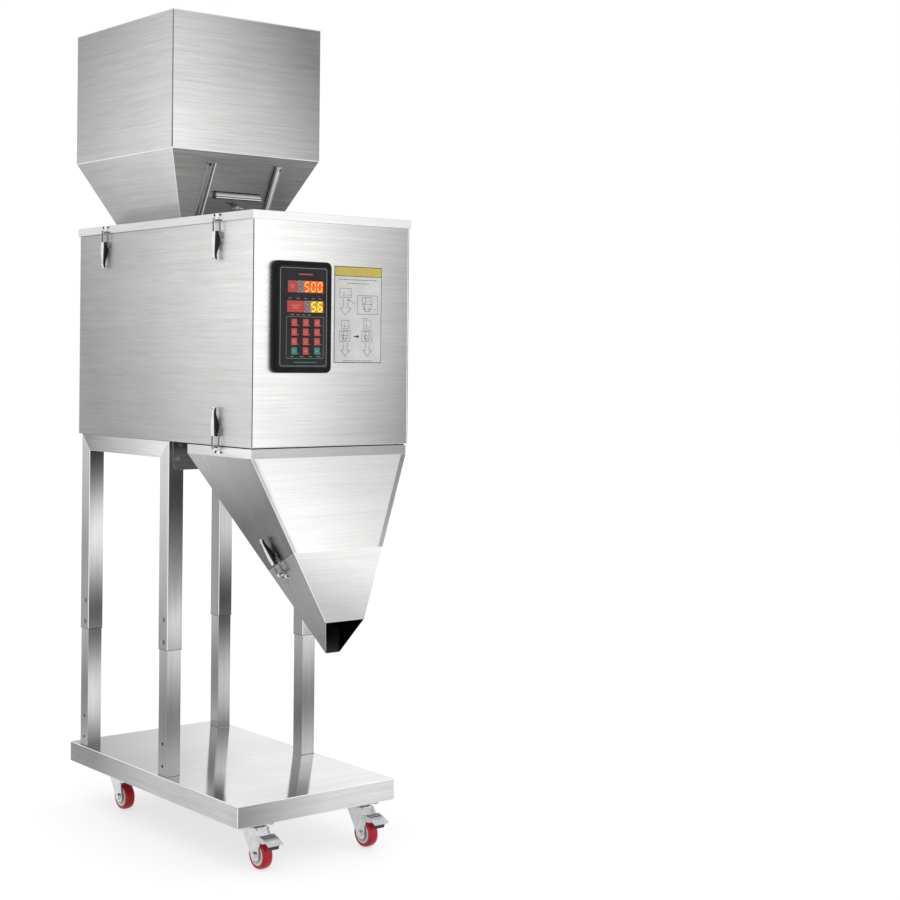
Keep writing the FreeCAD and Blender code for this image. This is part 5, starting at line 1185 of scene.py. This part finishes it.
@dataclass
class InstructionCard:
    """The plain card beside the controller, with generic shapes only."""

    left: float = 1.0
    right: float = 127.0
    low: float = 1041.6
    high: float = 1245.6
    face: float = -359.2

    def build(self) -> None:
        """Builds the card."""
        card, head, ink, faint = bmesh.new(), bmesh.new(), bmesh.new(), bmesh.new()
        face = self.face
        top = face - 0.25
        Forge.rounded(card, self.left, self.right, self.low, self.high, 1.5, face, top)
        Forge.plate(head, self.left + 1.6, self.right - 1.6, 1225.0, self.high - 1.6, top, top - 0.04)
        Forge.outline_loop(ink, self.left + 1.0, self.right - 1.0, self.low + 1.0, self.high - 1.0, 1.2,
                           1.4, top, top - 0.06)
        Forge.plate(ink, self.left + 1.6, self.right - 1.6, 1223.8, 1225.0, top, top - 0.06)
        for x, z, reach in ((64.0, 1217.0, 50.0), (64.0, 1209.5, 28.0), (64.0, 1046.8, 38.0),
                            (84.0, 1136.0, 7.0)):
            self.dashes(faint, x, z, reach, top)
        for x, z, half, tall in ((31.0, 1189.0, 15.0, 10.0), (89.0, 1165.0, 27.0, 20.0),
                                 (31.0, 1123.0, 10.0, 9.0),
                                 (89.0, 1123.0, 10.0, 9.0), (30.0, 1099.0, 14.0, 12.0),
                                 (88.0, 1099.0, 14.0, 12.0)):
            self.box_sketch(faint, x, z, half, tall, top)
        for x, z, scale in ((31.0, 1159.0, 1.55), (31.0, 1070.0, 1.25), (89.0, 1070.0, 1.25)):
            self.strokes(faint, x, z, scale, ((-4, 12), (-4, -1), (-9, -1), (0, -11), (9, -1), (4, -1),
                                              (4, 12)), top)
        for x, z, scale in ((30.0, 1098.0, 0.9), (88.0, 1098.0, 0.9), (88.0, 1164.0, 1.4)):
            self.hopper_sketch(faint, x, z, scale, top)
        self.strokes(ink, 42.0, 1172.0, 1.0, ((-4, 3), (-1, 0), (-5, 4), (15, -6)), top)
        self.arrow_across(ink, 61.0, 1098.0, top)
        for name, form, finish in (("sheet", card, CARD), ("header", head, CARD_YELLOW),
                                   ("frame", ink, CARD_INK), ("sketches", faint, CARD_FAINT)):
            Forge.settle("card_" + name, form, finish, "upper_unit", slot="panel_face")

    def dashes(self, form: bmesh.types.BMesh, x: float, z: float, reach: float, top: float) -> None:
        """Adds a row of plain dashes."""
        place = x - reach
        index = 0
        while place < x + reach:
            length = (5.0, 3.0, 7.0, 4.0)[index % 4]
            Forge.plate(form, place, min(place + length, x + reach), z - 0.7, z + 0.7, top, top - 0.05)
            place += length + 1.8
            index += 1

    def strokes(self, form: bmesh.types.BMesh, x: float, z: float, scale: float, points: Sequence[Pair],
                top: float) -> None:
        """Adds a chain of drawn lines through points given about a middle.

        Args:
            form: the mesh that it is added to.
            x: its middle across.
            z: its middle in height.
            scale: factor on the points.
            points: across and height, in millimetres.
            top: the card's face.
        """
        for start, end in zip(points, points[1:]):
            a = Vector(((x + start[0] * scale) * MM, (top - 0.02) * MM, (z + start[1] * scale) * MM))
            b = Vector(((x + end[0] * scale) * MM, (top - 0.02) * MM, (z + end[1] * scale) * MM))
            run = (b - a).normalized()
            Forge.bar(form, a, b, run.cross(Vector((0, 1, 0))) * 0.0009, Vector((0, 0.00005, 0)))

    def hopper_sketch(self, form: bmesh.types.BMesh, x: float, z: float, scale: float, top: float) -> None:
        """Adds the outline of a bin over a cone with a few inner strokes."""
        outline = ((-9, 2), (-9, 12), (9, 12), (9, 2), (4, -9), (-4, -9), (-9, 2), (9, 2))
        for points in (outline, ((-3, 12), (-3, 4)), ((4, 9), (6, 5)), ((-6, -2), (-2, -6)),
                       ((1, -1), (3, -6))):
            self.strokes(form, x, z, scale, points, top)

    def box_sketch(self, form: bmesh.types.BMesh, x: float, z: float, half: float, tall: float,
                   top: float) -> None:
        """Adds the outline of a box with a few inner strokes."""
        Forge.outline_loop(form, x - half, x + half, z - tall, z + tall, 0.6, 0.8, top, top - 0.05)
        for step in (-0.5, 0.1, 0.6):
            Forge.plate(form, x + half * step, x + half * (step + 0.3), z - tall * 0.5,
                        z - tall * 0.5 + 0.9, top, top - 0.05)
        Forge.plate(form, x - half * 0.3, x - half * 0.3 + 0.9, z - tall * 0.8, z + tall * 0.3, top,
                    top - 0.05)

    def arrow_across(self, form: bmesh.types.BMesh, x: float, z: float, top: float) -> None:
        """Adds a solid arrow that points right."""
        points = [(-7, 1.4), (1, 1.4), (1, 4), (7, 0), (1, -4), (1, -1.4), (-7, -1.4)]
        outline = [Vector(((x + px) * MM, top * MM, (z + pz) * MM)) for px, pz in points]
        Forge.prism(form, outline, Vector((0, -0.06 * MM, 0)))


@dataclass
class LatchSite:
    """Where one toggle latch sits and how it is turned."""

    name: str
    origin: Vector
    to_strike: Vector
    outward: Vector
    seat: float

    def across(self) -> Vector:
        """The direction across the latch."""
        return self.to_strike.cross(self.outward)

    def matrix(self) -> Matrix:
        """Places shapes made at the origin, with Y to the strike and Z outward."""
        across = self.across()
        turn = Matrix((across, self.to_strike, self.outward)).transposed().to_4x4()
        return Matrix.Translation(self.origin) @ turn


@dataclass
class Latches:
    """The eight toggle latches with their rivets and strike screws."""

    wall: float = 0.200
    lid_rows: tuple[float, ...] = (0.128, 0.606)
    foot_row: float = 0.125
    wall_slope: float = 148.0 / 335.0
    collar_half: float = 0.198
    collar_z: float = 0.847
    spout_drop: float = 0.213
    spout_row: float = 0.0445
    doubler: float = 0.0012
    flank_sheet: float = 1.3
    face_sheet: float = 0.9
    bail_half: float = 13.0
    bail_toe: float = 8.1
    stations: tuple[tuple[float, ...], ...] = (
        (5, 9.5, 3.5, 12.6), (-4, 9.5, 3.5, 12.8), (-12, 9.5, 3.5, 13.2), (-26, 7.8, 4.5, 13.2),
        (-38, 4.9, 7.0, 12.9), (-43, 4.5, 8.0, 12.7), (-50, 7.6, 9.6, 12.6), (-54, 8.6, 10.4, 12.4))

    def sites(self) -> list[LatchSite]:
        """The eight places, four on the lid, two on the funnel and two on the spout."""
        found = []
        lean = math.atan(self.wall_slope)
        for side, sign in (("left", -1), ("right", 1)):
            outward = Vector((sign, 0, 0))
            for row, depth in zip(("front", "rear"), self.lid_rows):
                origin = Vector((sign * self.wall, FRONT_Y + depth, LID_TOP_Z - 0.043))
                found.append(LatchSite(f"lid_{row}_{side}", origin, Vector((0, 0, 1)), outward, 4.0))
            origin = Vector((sign * self.wall, FRONT_Y + self.foot_row, CABINET_Z + 0.025))
            found.append(LatchSite(f"funnel_{side}", origin, Vector((0, 0, -1)), outward, -2.0))
            out = Vector((sign * math.cos(lean), 0, -math.sin(lean)))
            down = Vector((-sign * math.sin(lean), 0, -math.cos(lean)))
            tilt = math.radians(15.0)
            half = self.collar_half - self.spout_drop * self.wall_slope
            origin = Vector((sign * half, FRONT_Y + self.spout_row, self.collar_z - self.spout_drop))
            origin += out * self.doubler
            run = down * math.cos(tilt) - Vector((0, 1, 0)) * math.sin(tilt)
            found.append(LatchSite(f"spout_{side}", origin, run, out, -1.2))
        return found

    def build(self) -> None:
        """Builds and dresses every latch."""
        # The latch plates' outward faces take the grey painted shade of the lever tails.
        lips = [Patch(LEVER_TAIL_SHADE, (sign, 0, 0), 0.2128) for sign in (-1, 1)]
        Forge.soften("latch_plates", BRIGHT, 0.0002, "bright_steel", lips)
        screws = bmesh.new()
        for site in self.sites():
            self.lever(site)
            self.wire(site)
            part = bmesh.new()
            for x in (-10.5, 10.5):
                Forge.screw_head(part, Vector((x * MM, 38.8 * MM, (site.seat + 1.5) * MM)), Vector((0, 0, 1)),
                                 0.0029, 0.0013)
            for x, y in ((-4.0, -11.5), (4.0, -11.5)):
                Forge.lathe(part, [(0.0021, 0), (0.0019, 0.0007), (0.0010, 0.0010), (0, 0.0010), (0, 0)],
                            Vector((x * MM, y * MM, 1.2 * MM)), Vector((0, 0, 1)), 20)
            part.transform(site.matrix())
            mesh = bpy.data.meshes.new("latch_part")
            part.to_mesh(mesh)
            part.free()
            screws.from_mesh(mesh)
        Forge.settle("latch_screws", screws, DARK_STEEL_AND_SHADE, "upper_unit", slot="bright_steel")

    def lever(self, site: LatchSite) -> None:
        """Adds a pressed channel lever with a pale face, one flank in painted shade and a forked tail in grey
        painted shade.
        """
        shade = -1 if site.across().y > 0 else 1
        form = bmesh.new()
        rings = []
        for y, half, low, top in self.stations:
            rise = top - low
            line = ((-1.0, 0.0), (-1.0, 0.8), (-0.88, 1.0), (0.45, 1.0), (0.72, 0.99), (0.95, 0.88),
                    (1.0, 0.0))
            ring = []
            for x, share in line:
                notch = 4.5 if y < -53 and x == 0.45 else 0.0
                ring.append(form.verts.new((shade * x * half * MM, (y + notch) * MM,
                                            (low + rise * share) * MM)))
            inner = half - self.flank_sheet
            roof = top - self.face_sheet
            for x, z in ((inner, low), (inner, roof), (-inner, roof), (-inner, low)):
                ring.append(form.verts.new((shade * x * MM, y * MM, z * MM)))
            rings.append(ring)
        count = len(rings[0])
        for index, (ring, following) in enumerate(zip(rings, rings[1:])):
            for k in range(count):
                m = (k + 1) % count
                face = form.faces.new((ring[k], ring[m], following[m], following[k]))
                # Faces past the top's middle, round the far flank and inside, take the near-black painted
                # shade; the tail's other faces the grey painted shade.
                face.material_index = 1 if k > 2 else 2 if index > 5 else 0
        form.faces.new(rings[0]).material_index = 1
        form.faces.new(rings[-1][::-1])
        form.transform(site.matrix())
        node = "latch_lever_" + site.name
        Forge.settle(node + "_pressing", form, BRIGHT, frame["nodes"][node]["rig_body"], 0.0004, [node],
                     "bright_steel", [LEVER_DARK, LEVER_TAIL_SHADE])

    def wire(self, site: LatchSite) -> None:
        """Adds the bail as one wire with rounded shoulders."""
        pivot, end = Vector((0, -8.0, 6.0)), Vector((0, 28.55, 7.4))
        rise = (end - pivot).normalized()
        length = (end - pivot).length
        half, toe = self.bail_half, self.bail_toe
        flat = [(toe, 0.0)]
        for cx, cy, radius, start in ((half - 3.2, 3.2, 3.2, -90), (half - 6.5, length - 6.5, 6.5, 0)):
            for step in range(7):
                angle = math.radians(start + 15 * step)
                flat.append((cx + radius * math.cos(angle), cy + radius * math.sin(angle)))
        flat += [(-x, y) for x, y in reversed(flat)]
        path = [pivot + Vector((x, 0, 0)) + rise * y for x, y in flat]
        flank = Vector((1, 0, 0)).cross(rise)
        form = bmesh.new()
        rings = []
        for index, place in enumerate(path):
            run = (path[min(index + 1, len(path) - 1)] - path[max(index - 1, 0)]).normalized()
            out = run.cross(flank)
            rings.append([form.verts.new((place + (flank * math.cos(a) + out * math.sin(a)) * 1.5) * MM)
                          for a in (2 * math.pi * k / 12 for k in range(12))])
        for ring, following in zip(rings, rings[1:]):
            for k in range(12):
                m = (k + 1) % 12
                form.faces.new((ring[k], ring[m], following[m], following[k]))
        form.faces.new(rings[0])
        form.faces.new(rings[-1][::-1])
        form.transform(site.matrix())
        node = "latch_bail_" + site.name
        Forge.settle(node + "_wire", form, LATCH_WIRE, frame["nodes"][node]["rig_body"], 0.0, [node],
                     "bright_steel")


@dataclass
class Caster:
    """One caster: turned wheel, fork dress and, in front, the brake pedal's details; its plate bolts are
    built with the cart.
    """

    end: str
    side: str
    x: float = 0.136
    trail: float = 0.022
    radius: float = 0.030
    width: float = 0.024

    def pin(self) -> Vector:
        """The kingpin's foot on the floor."""
        sign = -1 if self.side == "left" else 1
        depth = 0.070 if self.end == "front" else 0.640
        return Vector((sign * self.x, FRONT_Y + depth, 0.0))

    def build(self) -> None:
        """Builds the caster's pieces."""
        name = f"{self.end}_{self.side}"
        self.wheel(name)
        Forge.soften("caster_fork_" + name, ZINC, 0.0004, "zinc")
        if self.end == "front":
            Forge.soften("brake_pedal_" + self.side, CHROME, 0.0004, "chrome")
            self.pedal_dress()

    def wheel(self, name: str) -> None:
        """Tyre, rim rings, hub and hub caps of one wheel."""
        centre = self.pin() + Vector((0, -self.trail, self.radius))
        axis = Vector((1, 0, 0))
        r, h = self.radius, self.width / 2
        body = "wheel_" + name
        tyre = bmesh.new()
        profile = [(0.0215, -h + 0.0014), (0.0240, -h + 0.0004), (0.0262, -h + 0.0003), (0.0280, -h + 0.0016),
                   (0.0292, -h + 0.0042), (0.0298, -h + 0.0074), (r, 0.0), (0.0298, h - 0.0074),
                   (0.0292, h - 0.0042), (0.0280, h - 0.0016), (0.0262, h - 0.0003), (0.0240, h - 0.0004),
                   (0.0215, h - 0.0014)]
        Forge.lathe(tyre, profile, centre, axis, 64)
        Forge.settle("tyre_" + name, tyre, TYRE_RED, body, stands_for=["caster_wheel_" + name],
                     slot="red_tyre")
        rim, hub = bmesh.new(), bmesh.new()
        for sign in (-1, 1):
            out = axis * sign
            base = centre + out * (h - 0.0030)
            Forge.lathe(rim, [(0.0218, 0), (0.0218, 0.0021), (0.0212, 0.0026), (0.0186, 0.0026),
                              (0.0180, 0.0019), (0.0178, 0)], base, out, 56)
            Forge.lathe(hub, [(0.0178, 0), (0.0178, 0.0016), (0.0130, 0.0006), (0.0098, 0.0010),
                              (0.0090, 0.0036),
                              (0.0084, 0.0041), (0.0044, 0.0041), (0.0044, 0)], base, out, 48)
        Forge.lathe(hub, [(0.0218, -h + 0.003), (0.0218, h - 0.003), (0.0050, h - 0.003),
                          (0.0050, -h + 0.003)],
                    centre, axis, 48)
        Forge.settle("rim_" + name, rim, RIM_WHITE, body, slot="red_tyre")
        Forge.settle("hub_" + name, hub, HUB_GREY, body, slot="red_tyre")

    def pedal_dress(self) -> None:
        """Grip ridges on the pedal with painted shade between them, and its black pad."""
        pin = self.pin()
        body = "pedal_" + self.side
        ridges = bmesh.new()
        along = Vector((0, -14.0, -4.0)).normalized()
        up = Vector((0, -along.z, along.y))
        if up.z < 0:
            up = -up
        for step in (3.0, 6.5, 10.0):
            place = pin + Vector((0, -44.0, 74.0)) * MM + along * step * MM + up * 0.0005
            Forge.bar(ridges, place - Vector((0.015, 0, 0)), place + Vector((0.015, 0, 0)), along * 0.0014,
                      up * 0.0014)
        Forge.settle("pedal_ridges_" + self.side, ridges, CHROME, body, 0.0003, slot="chrome")
        ridge_shades = bmesh.new()
        for step in (1.4, 4.8, 8.3, 11.6):
            place = pin + Vector((0, -44.0, 74.0)) * MM + along * step * MM + up * 0.0003
            Forge.bar(ridge_shades, place - Vector((0.0145, 0, 0)), place + Vector((0.0145, 0, 0)), along * 0.0010,
                      up * 0.0006)
        Forge.settle("pedal_slots_" + self.side, ridge_shades, DARK_STEEL_AND_SHADE, body, slot="chrome")
        pad = bmesh.new()
        outline = [Vector((pin.x - 0.0118, pin.y + y * MM, z * MM)) for y, z in
                   ((-60.2, 67.4), (-74.4, 61.6), (-70.6, 49.6), (-63.0, 47.3), (-61.6, 51.0))]
        Forge.prism(pad, outline, Vector((0.0236, 0, 0)))
        Forge.settle("pedal_pad_" + self.side, pad, PAD_BLACK, body, 0.0012, slot="black_plastic")


@dataclass
class Cart:
    """The wheeled platform, its legs and the upper frame's tubes."""

    tray_top: float = 0.139
    leg_outer: float = 0.198
    tube: float = 0.038
    rows: tuple[float, ...] = (0.346, 0.706)

    def build(self) -> None:
        """Builds the cart's pieces."""
        # Side faces of the lower legs and the platform's top and sides take lit and shaded copies of one
        # steel: painted light and shade.
        sides = [Patch(LEG_SIDE, (sign, 0, 0)) for sign in (-1, 1)]
        Forge.soften("platform_tray", TRAY_FRONT, 0.0004, "tube_steel",
                     [Patch(TRAY_TOP, (0, 0, 1), 0.13), Patch(TRAY_SIDE, (-1, 0, 0), 0.19),
                      Patch(TRAY_SIDE, (1, 0, 0), 0.19)])
        Forge.soften("caster_plates", SCREW_STEEL, 0.0004, "zinc")
        for end, finish in (("front", LEG_FRONT), ("rear", LEG_REAR)):
            for side in ("left", "right"):
                # Softened edges of the lower legs take the painted edge highlight.
                Forge.soften(f"lower_leg_{end}_{side}", finish, 0.0011, "tube_steel", sides, TUBE_EDGE_HIGHLIGHT)
                Caster(end, side).build()
        for side in ("left", "right"):
            self.side_frame(side)
        # The cross rails are a dark copy of the steel, painted shade under the cabinet, with the painted edge
        # highlight on their softened edges.
        Forge.soften("cross_rails", CROSS_STEEL, 0.0006, "tube_steel", edge=TUBE_EDGE_HIGHLIGHT)
        Forge.soften("frame_screws", SCREW_STEEL, 0.0003, "bright_steel")
        self.leg_welds()
        self.plate_bolts()
        self.tray_corners()
        self.tray_folds()

    def side_frame(self, side: str) -> None:
        """Two upper legs and the rail between them, mitred at their corners, with painted highlight lines
        along the mitres and painted shadow round the legs' lower ends.
        """
        node = "side_frame_" + side
        low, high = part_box(node)
        form = bmesh.new()
        size, across, wall = self.tube, (low[0], high[0]), 0.0015
        front, rear, top = low[1], high[1], high[2]
        lines, end_shadows = bmesh.new(), bmesh.new()
        for outer, near, far, kind in ((front, front, front + size, 0), (rear, rear - size, rear, 4)):
            def leg(end: int, x: float, y: float, outer: float = outer) -> Vector:
                return Vector((x, y, top - abs(y - outer) if end else low[2]))
            Forge.square_tube(form, across, (near, far), wall, leg, (kind, 2))
            inner = near + far - outer
            for x in (across[0] + 0.0003, across[1] - 0.0003):
                start, end = Vector((x, outer, top)), Vector((x, inner, top - size))
                Forge.round_line(lines, start + (end - start) * 0.03, end, 0.0006)
            x0, x1, z = across[0] - 0.0001, across[1] + 0.0001, low[2] + 0.0004
            corners = [Vector((x0, near, z)), Vector((x1, near, z)), Vector((x1, far, z)),
                       Vector((x0, far, z))]
            for index in range(4):
                Forge.round_line(end_shadows, corners[index], corners[(index + 1) % 4], 0.0005)

        def rail(end: int, x: float, z: float) -> Vector:
            return Vector((x, rear - (top - z) if end else front + (top - z), z))
        Forge.square_tube(form, across, (top - size, top), wall, rail, (3, 3))
        body = frame["nodes"][node]["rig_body"]
        # Front, side, rear and rail faces take lit and shaded copies of one steel, painted light and shade;
        # the outer chamfers the painted edge highlight.
        Forge.settle(node + "_tubes", form, TUBE_FRONT, body, 0.0, [node], "tube_steel",
                     [TUBE_EDGE_HIGHLIGHT, TUBE_SIDE, RAIL_SIDE, TUBE_REAR])
        Forge.settle(node + "_mitres", lines, TUBE_EDGE_HIGHLIGHT, body, slot="tube_steel")
        Forge.settle(node + "_rims", end_shadows, DARK_STEEL_AND_SHADE, body, slot="tube_steel")

    def tray_folds(self) -> None:
        """Painted highlights along the folds of the platform's top and lower edges."""
        folds = bmesh.new()
        low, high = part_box("platform_tray")
        for z in (high[2] - 0.0009, low[2] + 0.0009):
            x0, x1, y0, y1 = low[0] + 0.0009, high[0] - 0.0009, low[1] + 0.0009, high[1] - 0.0009
            corners = [Vector((x0, y0, z)), Vector((x1, y0, z)), Vector((x1, y1, z)), Vector((x0, y1, z))]
            for index in range(4):
                Forge.round_line(folds, corners[index], corners[(index + 1) % 4], 0.00095)
        Forge.settle("platform_folds", folds, FOLD_HIGHLIGHT, "cart", slot="tube_steel")

    def leg_welds(self) -> None:
        """Small ground weld beads where the legs stand on the platform."""
        beads = bmesh.new()
        for sign in (-1, 1):
            for depth in self.rows:
                centre = Vector((sign * (self.leg_outer - 0.019), FRONT_Y + depth, self.tray_top + 0.0006))
                for turn in range(4):
                    out = Vector((math.cos(turn * math.pi / 2), math.sin(turn * math.pi / 2), 0))
                    run = Vector((-out.y, out.x, 0))
                    middle = centre + out * 0.0176
                    Forge.bar(beads, middle - run * 0.017, middle + run * 0.017, out * 0.0016,
                              Vector((0, 0, 0.0012)))
        Forge.settle("leg_welds", beads, SCREW_STEEL, "cart", 0.0005, slot="tube_steel")

    def plate_bolts(self) -> None:
        """Four small bolts under each caster plate."""
        bolts = bmesh.new()
        for end in ("front", "rear"):
            for side in ("left", "right"):
                pin = Caster(end, side).pin()
                for dx in (-0.024, 0.024):
                    for dy in (-0.024, 0.024):
                        Forge.lathe(bolts, [(0.0045, 0), (0.0045, 0.0026), (0.0038, 0.0032), (0, 0.0032),
                                            (0, 0)],
                                    Vector((pin.x + dx, pin.y + dy, 0.091)), Vector((0, 0, -1)), 6)
        Forge.settle("caster_plate_bolts", bolts, SCREW_STEEL, "cart", slot="zinc")

    def tray_corners(self) -> None:
        """Painted highlight lines up the platform's four corners."""
        lines = bmesh.new()
        for sign in (-1, 1):
            for y in (FRONT_Y + 0.035, FRONT_Y + 0.762):
                inward = 1 if y < 0 else -1
                base = Vector((sign * (0.202 - 0.0006), y + inward * 0.0006, 0.0955))
                Forge.round_line(lines, base, base + Vector((0, 0, 0.0415)), 0.0009)
        Forge.settle("platform_corner_highlights", lines, FOLD_HIGHLIGHT, "cart", slot="tube_steel")


@dataclass
class Inside:
    """The feeder and weighing unit inside the cabinet, and the power entry at its rear."""

    inlet_x: float = -0.120
    switch_z: float = 0.944
    rear: float = 0.380

    def build(self) -> None:
        """Dresses the inside and builds the rear's small pieces."""
        for node in ("feed_tray", "weigh_bucket", "bucket_flap"):
            Forge.soften(node, INSIDE_STEEL, 0.0003)
        Forge.soften("feeder_stand", SHELF_PAINT, 0.0006, "shelf_paint")
        Forge.soften("leaf_springs", ZINC, 0.0003, "zinc")
        Forge.soften("load_cell", MILLED, 0.0004, "aluminium")
        Forge.soften("electromagnet", DARK_IRON, 0.0004, "iron")
        Forge.soften("flap_actuator", DARK_IRON, 0.0004, "iron")
        Forge.soften("control_boards", BOARD_GREEN, 0.0003, "board")
        Forge.soften("power_inlet", INLET_BLACK, 0.0006, "black_plastic")
        Forge.soften("power_switch", INLET_BLACK, 0.0006, "black_plastic")
        self.inlet_screws()
        self.switch_marks()

    def inlet_screws(self) -> None:
        """Two screws that hold the power entry."""
        heads = bmesh.new()
        for dx in (-0.0165, 0.0165):
            Forge.screw_head(heads, Vector((self.inlet_x + dx, self.rear + 0.004, CABINET_Z + 0.060)),
                             Vector((0, 1, 0)), 0.0026, 0.0012)
        Forge.settle("inlet_screws", heads, SCREW_STEEL, "upper_unit", slot="bright_steel")

    def switch_marks(self) -> None:
        """The rocker's bar and ring marks."""
        marks = bmesh.new()
        normal = Vector((0, 9.2, 2.2)).normalized()
        top = Vector((self.inlet_x, self.rear + 0.0052, self.switch_z + 0.0046))
        Forge.bar(marks, top - Vector((0.0002, 0, 0.0016)), top + Vector((-0.0002, 0.0007, 0.0016)),
                  Vector((0.0007, 0, 0)), normal * 0.0002)
        low = Vector((self.inlet_x, self.rear + 0.0051, self.switch_z - 0.0046))
        Forge.lathe(marks, [(0.0016, 0), (0.0016, 0.0002), (0.0011, 0.0002), (0.0011, 0)], low,
                    Vector((0, 9.2, -2.2)).normalized(), 24)
        Forge.settle("rocker_marks", marks, CARD, "rocker", slot="black_plastic")


@dataclass
class Studio:
    """Pale floor, soft lamps and the camera at the photograph's angle."""

    floor_size: float = 14.0
    eye: tuple[float, float, float] = (-2.072, -3.206, 1.056)
    right: tuple[float, float, float] = (0.78981404, -0.61327126, 0.00959913)
    up: tuple[float, float, float] = (-0.00586911, 0.00809289, 0.99995003)
    lens: float = 67.57
    shift: Pair = (0.0717, -0.0983)

    def build(self) -> None:
        """Builds the studio."""
        self.floor()
        self.world()
        self.lamp("key_lamp", (-1.8, -3.0, 3.4), (0.0, -0.3, 1.0), 2.2, 12.0)
        self.lamp("fill_lamp", (2.8, -2.6, 1.4), (0.0, 0.0, 0.9), 2.4, 6.0)
        self.lamp("rear_lamp", (-2.8, 2.4, 1.8), (0.0, 0.1, 0.9), 2.4, 3.6)
        self.camera()
        bpy.context.scene.view_settings.view_transform = "Standard"

    def floor(self) -> None:
        """White floor that keeps the machine's shadow."""
        form = bmesh.new()
        half = self.floor_size
        corners = [form.verts.new((x, y, -0.0005)) for x, y in ((-half, -half), (half, -half), (half, half),
                                                                (-half, half))]
        form.faces.new(corners)
        mesh = bpy.data.meshes.new("studio_floor")
        form.to_mesh(mesh)
        form.free()
        floor = bpy.data.objects.new("studio_floor", mesh)
        bpy.context.scene.collection.objects.link(floor)
        bench = ShaderBench("floor_white")
        speck = bench.noise(bench.mapped((3.0, 3.0, 3.0)), 1.0, 2.0, 0.5)
        bench.link(bench.mixed(speck, grey(0.42), grey(0.44)), bench.shader.inputs["Base Color"])
        bench.constant("Roughness", 0.7)
        bench.constant("Specular IOR Level", 0.2)
        bench.constant("Emission Color", grey(1.0))
        glow = bench.ranged(self.seen_directly(bench.tree), 0.0, 1.0, 0.0, 0.64)
        bench.link(glow, bench.shader.inputs["Emission Strength"])
        mesh.materials.append(bench.material)

    @staticmethod
    def seen_directly(tree: bpy.types.NodeTree) -> bpy.types.NodeSocket:
        """One for rays from the eye, off metal and through glass, zero for the light that is cast."""
        path = tree.nodes.new("ShaderNodeLightPath")
        total = path.outputs["Is Camera Ray"]
        for name in ("Is Glossy Ray", "Is Transmission Ray"):
            node = tree.nodes.new("ShaderNodeMath")
            node.operation = "MAXIMUM"
            tree.links.new(total, node.inputs[0])
            tree.links.new(path.outputs[name], node.inputs[1])
            total = node.outputs["Value"]
        return total

    def world(self) -> None:
        """White surround for the eye and for reflections, softer for the light it casts."""
        world = bpy.data.worlds.new("studio_world")
        bpy.context.scene.world = world
        world.use_nodes = True
        tree = world.node_tree
        tree.nodes.clear()
        output = tree.nodes.new("ShaderNodeOutputWorld")
        seen = tree.nodes.new("ShaderNodeBackground")
        cast = tree.nodes.new("ShaderNodeBackground")
        mix = tree.nodes.new("ShaderNodeMixShader")
        tree.links.new(self.seen_directly(tree), mix.inputs["Fac"])
        seen.inputs["Color"].default_value = grey(1.0)
        seen.inputs["Strength"].default_value = 1.0
        cast.inputs["Color"].default_value = grey(1.0)
        cast.inputs["Strength"].default_value = 0.88
        tree.links.new(cast.outputs["Background"], mix.inputs[1])
        tree.links.new(seen.outputs["Background"], mix.inputs[2])
        tree.links.new(mix.outputs["Shader"], output.inputs["Surface"])

    @staticmethod
    def lamp(name: str, place: Sequence[float], aim: Sequence[float], size: float, power: float) -> None:
        """Adds one soft square lamp.

        Args:
            name: the lamp's name.
            place: where it hangs.
            aim: the point it faces.
            size: its side.
            power: its power in watts.
        """
        data = bpy.data.lights.new(name, "AREA")
        data.size = size
        data.energy = power
        lamp = bpy.data.objects.new(name, data)
        lamp.location = place
        lamp.rotation_euler = (Vector(aim) - Vector(place)).to_track_quat("-Z", "Y").to_euler()
        bpy.context.scene.collection.objects.link(lamp)

    def camera(self) -> None:
        """Sets the camera to the photograph's view."""
        data = bpy.data.cameras.new("photo_camera")
        data.lens = self.lens
        data.sensor_width = 36.0
        data.shift_x, data.shift_y = self.shift
        camera = bpy.data.objects.new("photo_camera", data)
        right, up = Vector(self.right), Vector(self.up)
        back = right.cross(up)
        turn = Matrix((right, up, back)).transposed().to_4x4()
        camera.matrix_world = Matrix.Translation(Vector(self.eye)) @ turn
        bpy.context.scene.collection.objects.link(camera)
        bpy.context.scene.camera = camera


def main() -> None:
    """Builds the machine and the studio."""
    logging.basicConfig(level=logging.INFO, format="%(message)s")
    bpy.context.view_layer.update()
    Studio().build()
    for assembly in (Cart(), Cabinet(), Hopper(), Funnel(), Controller(), InstructionCard(), Latches(),
                     Inside()):
        log.info("building %s", type(assembly).__name__)
        assembly.build()
    bpy.context.view_layer.update()


if __name__ == "__main__":
    main()
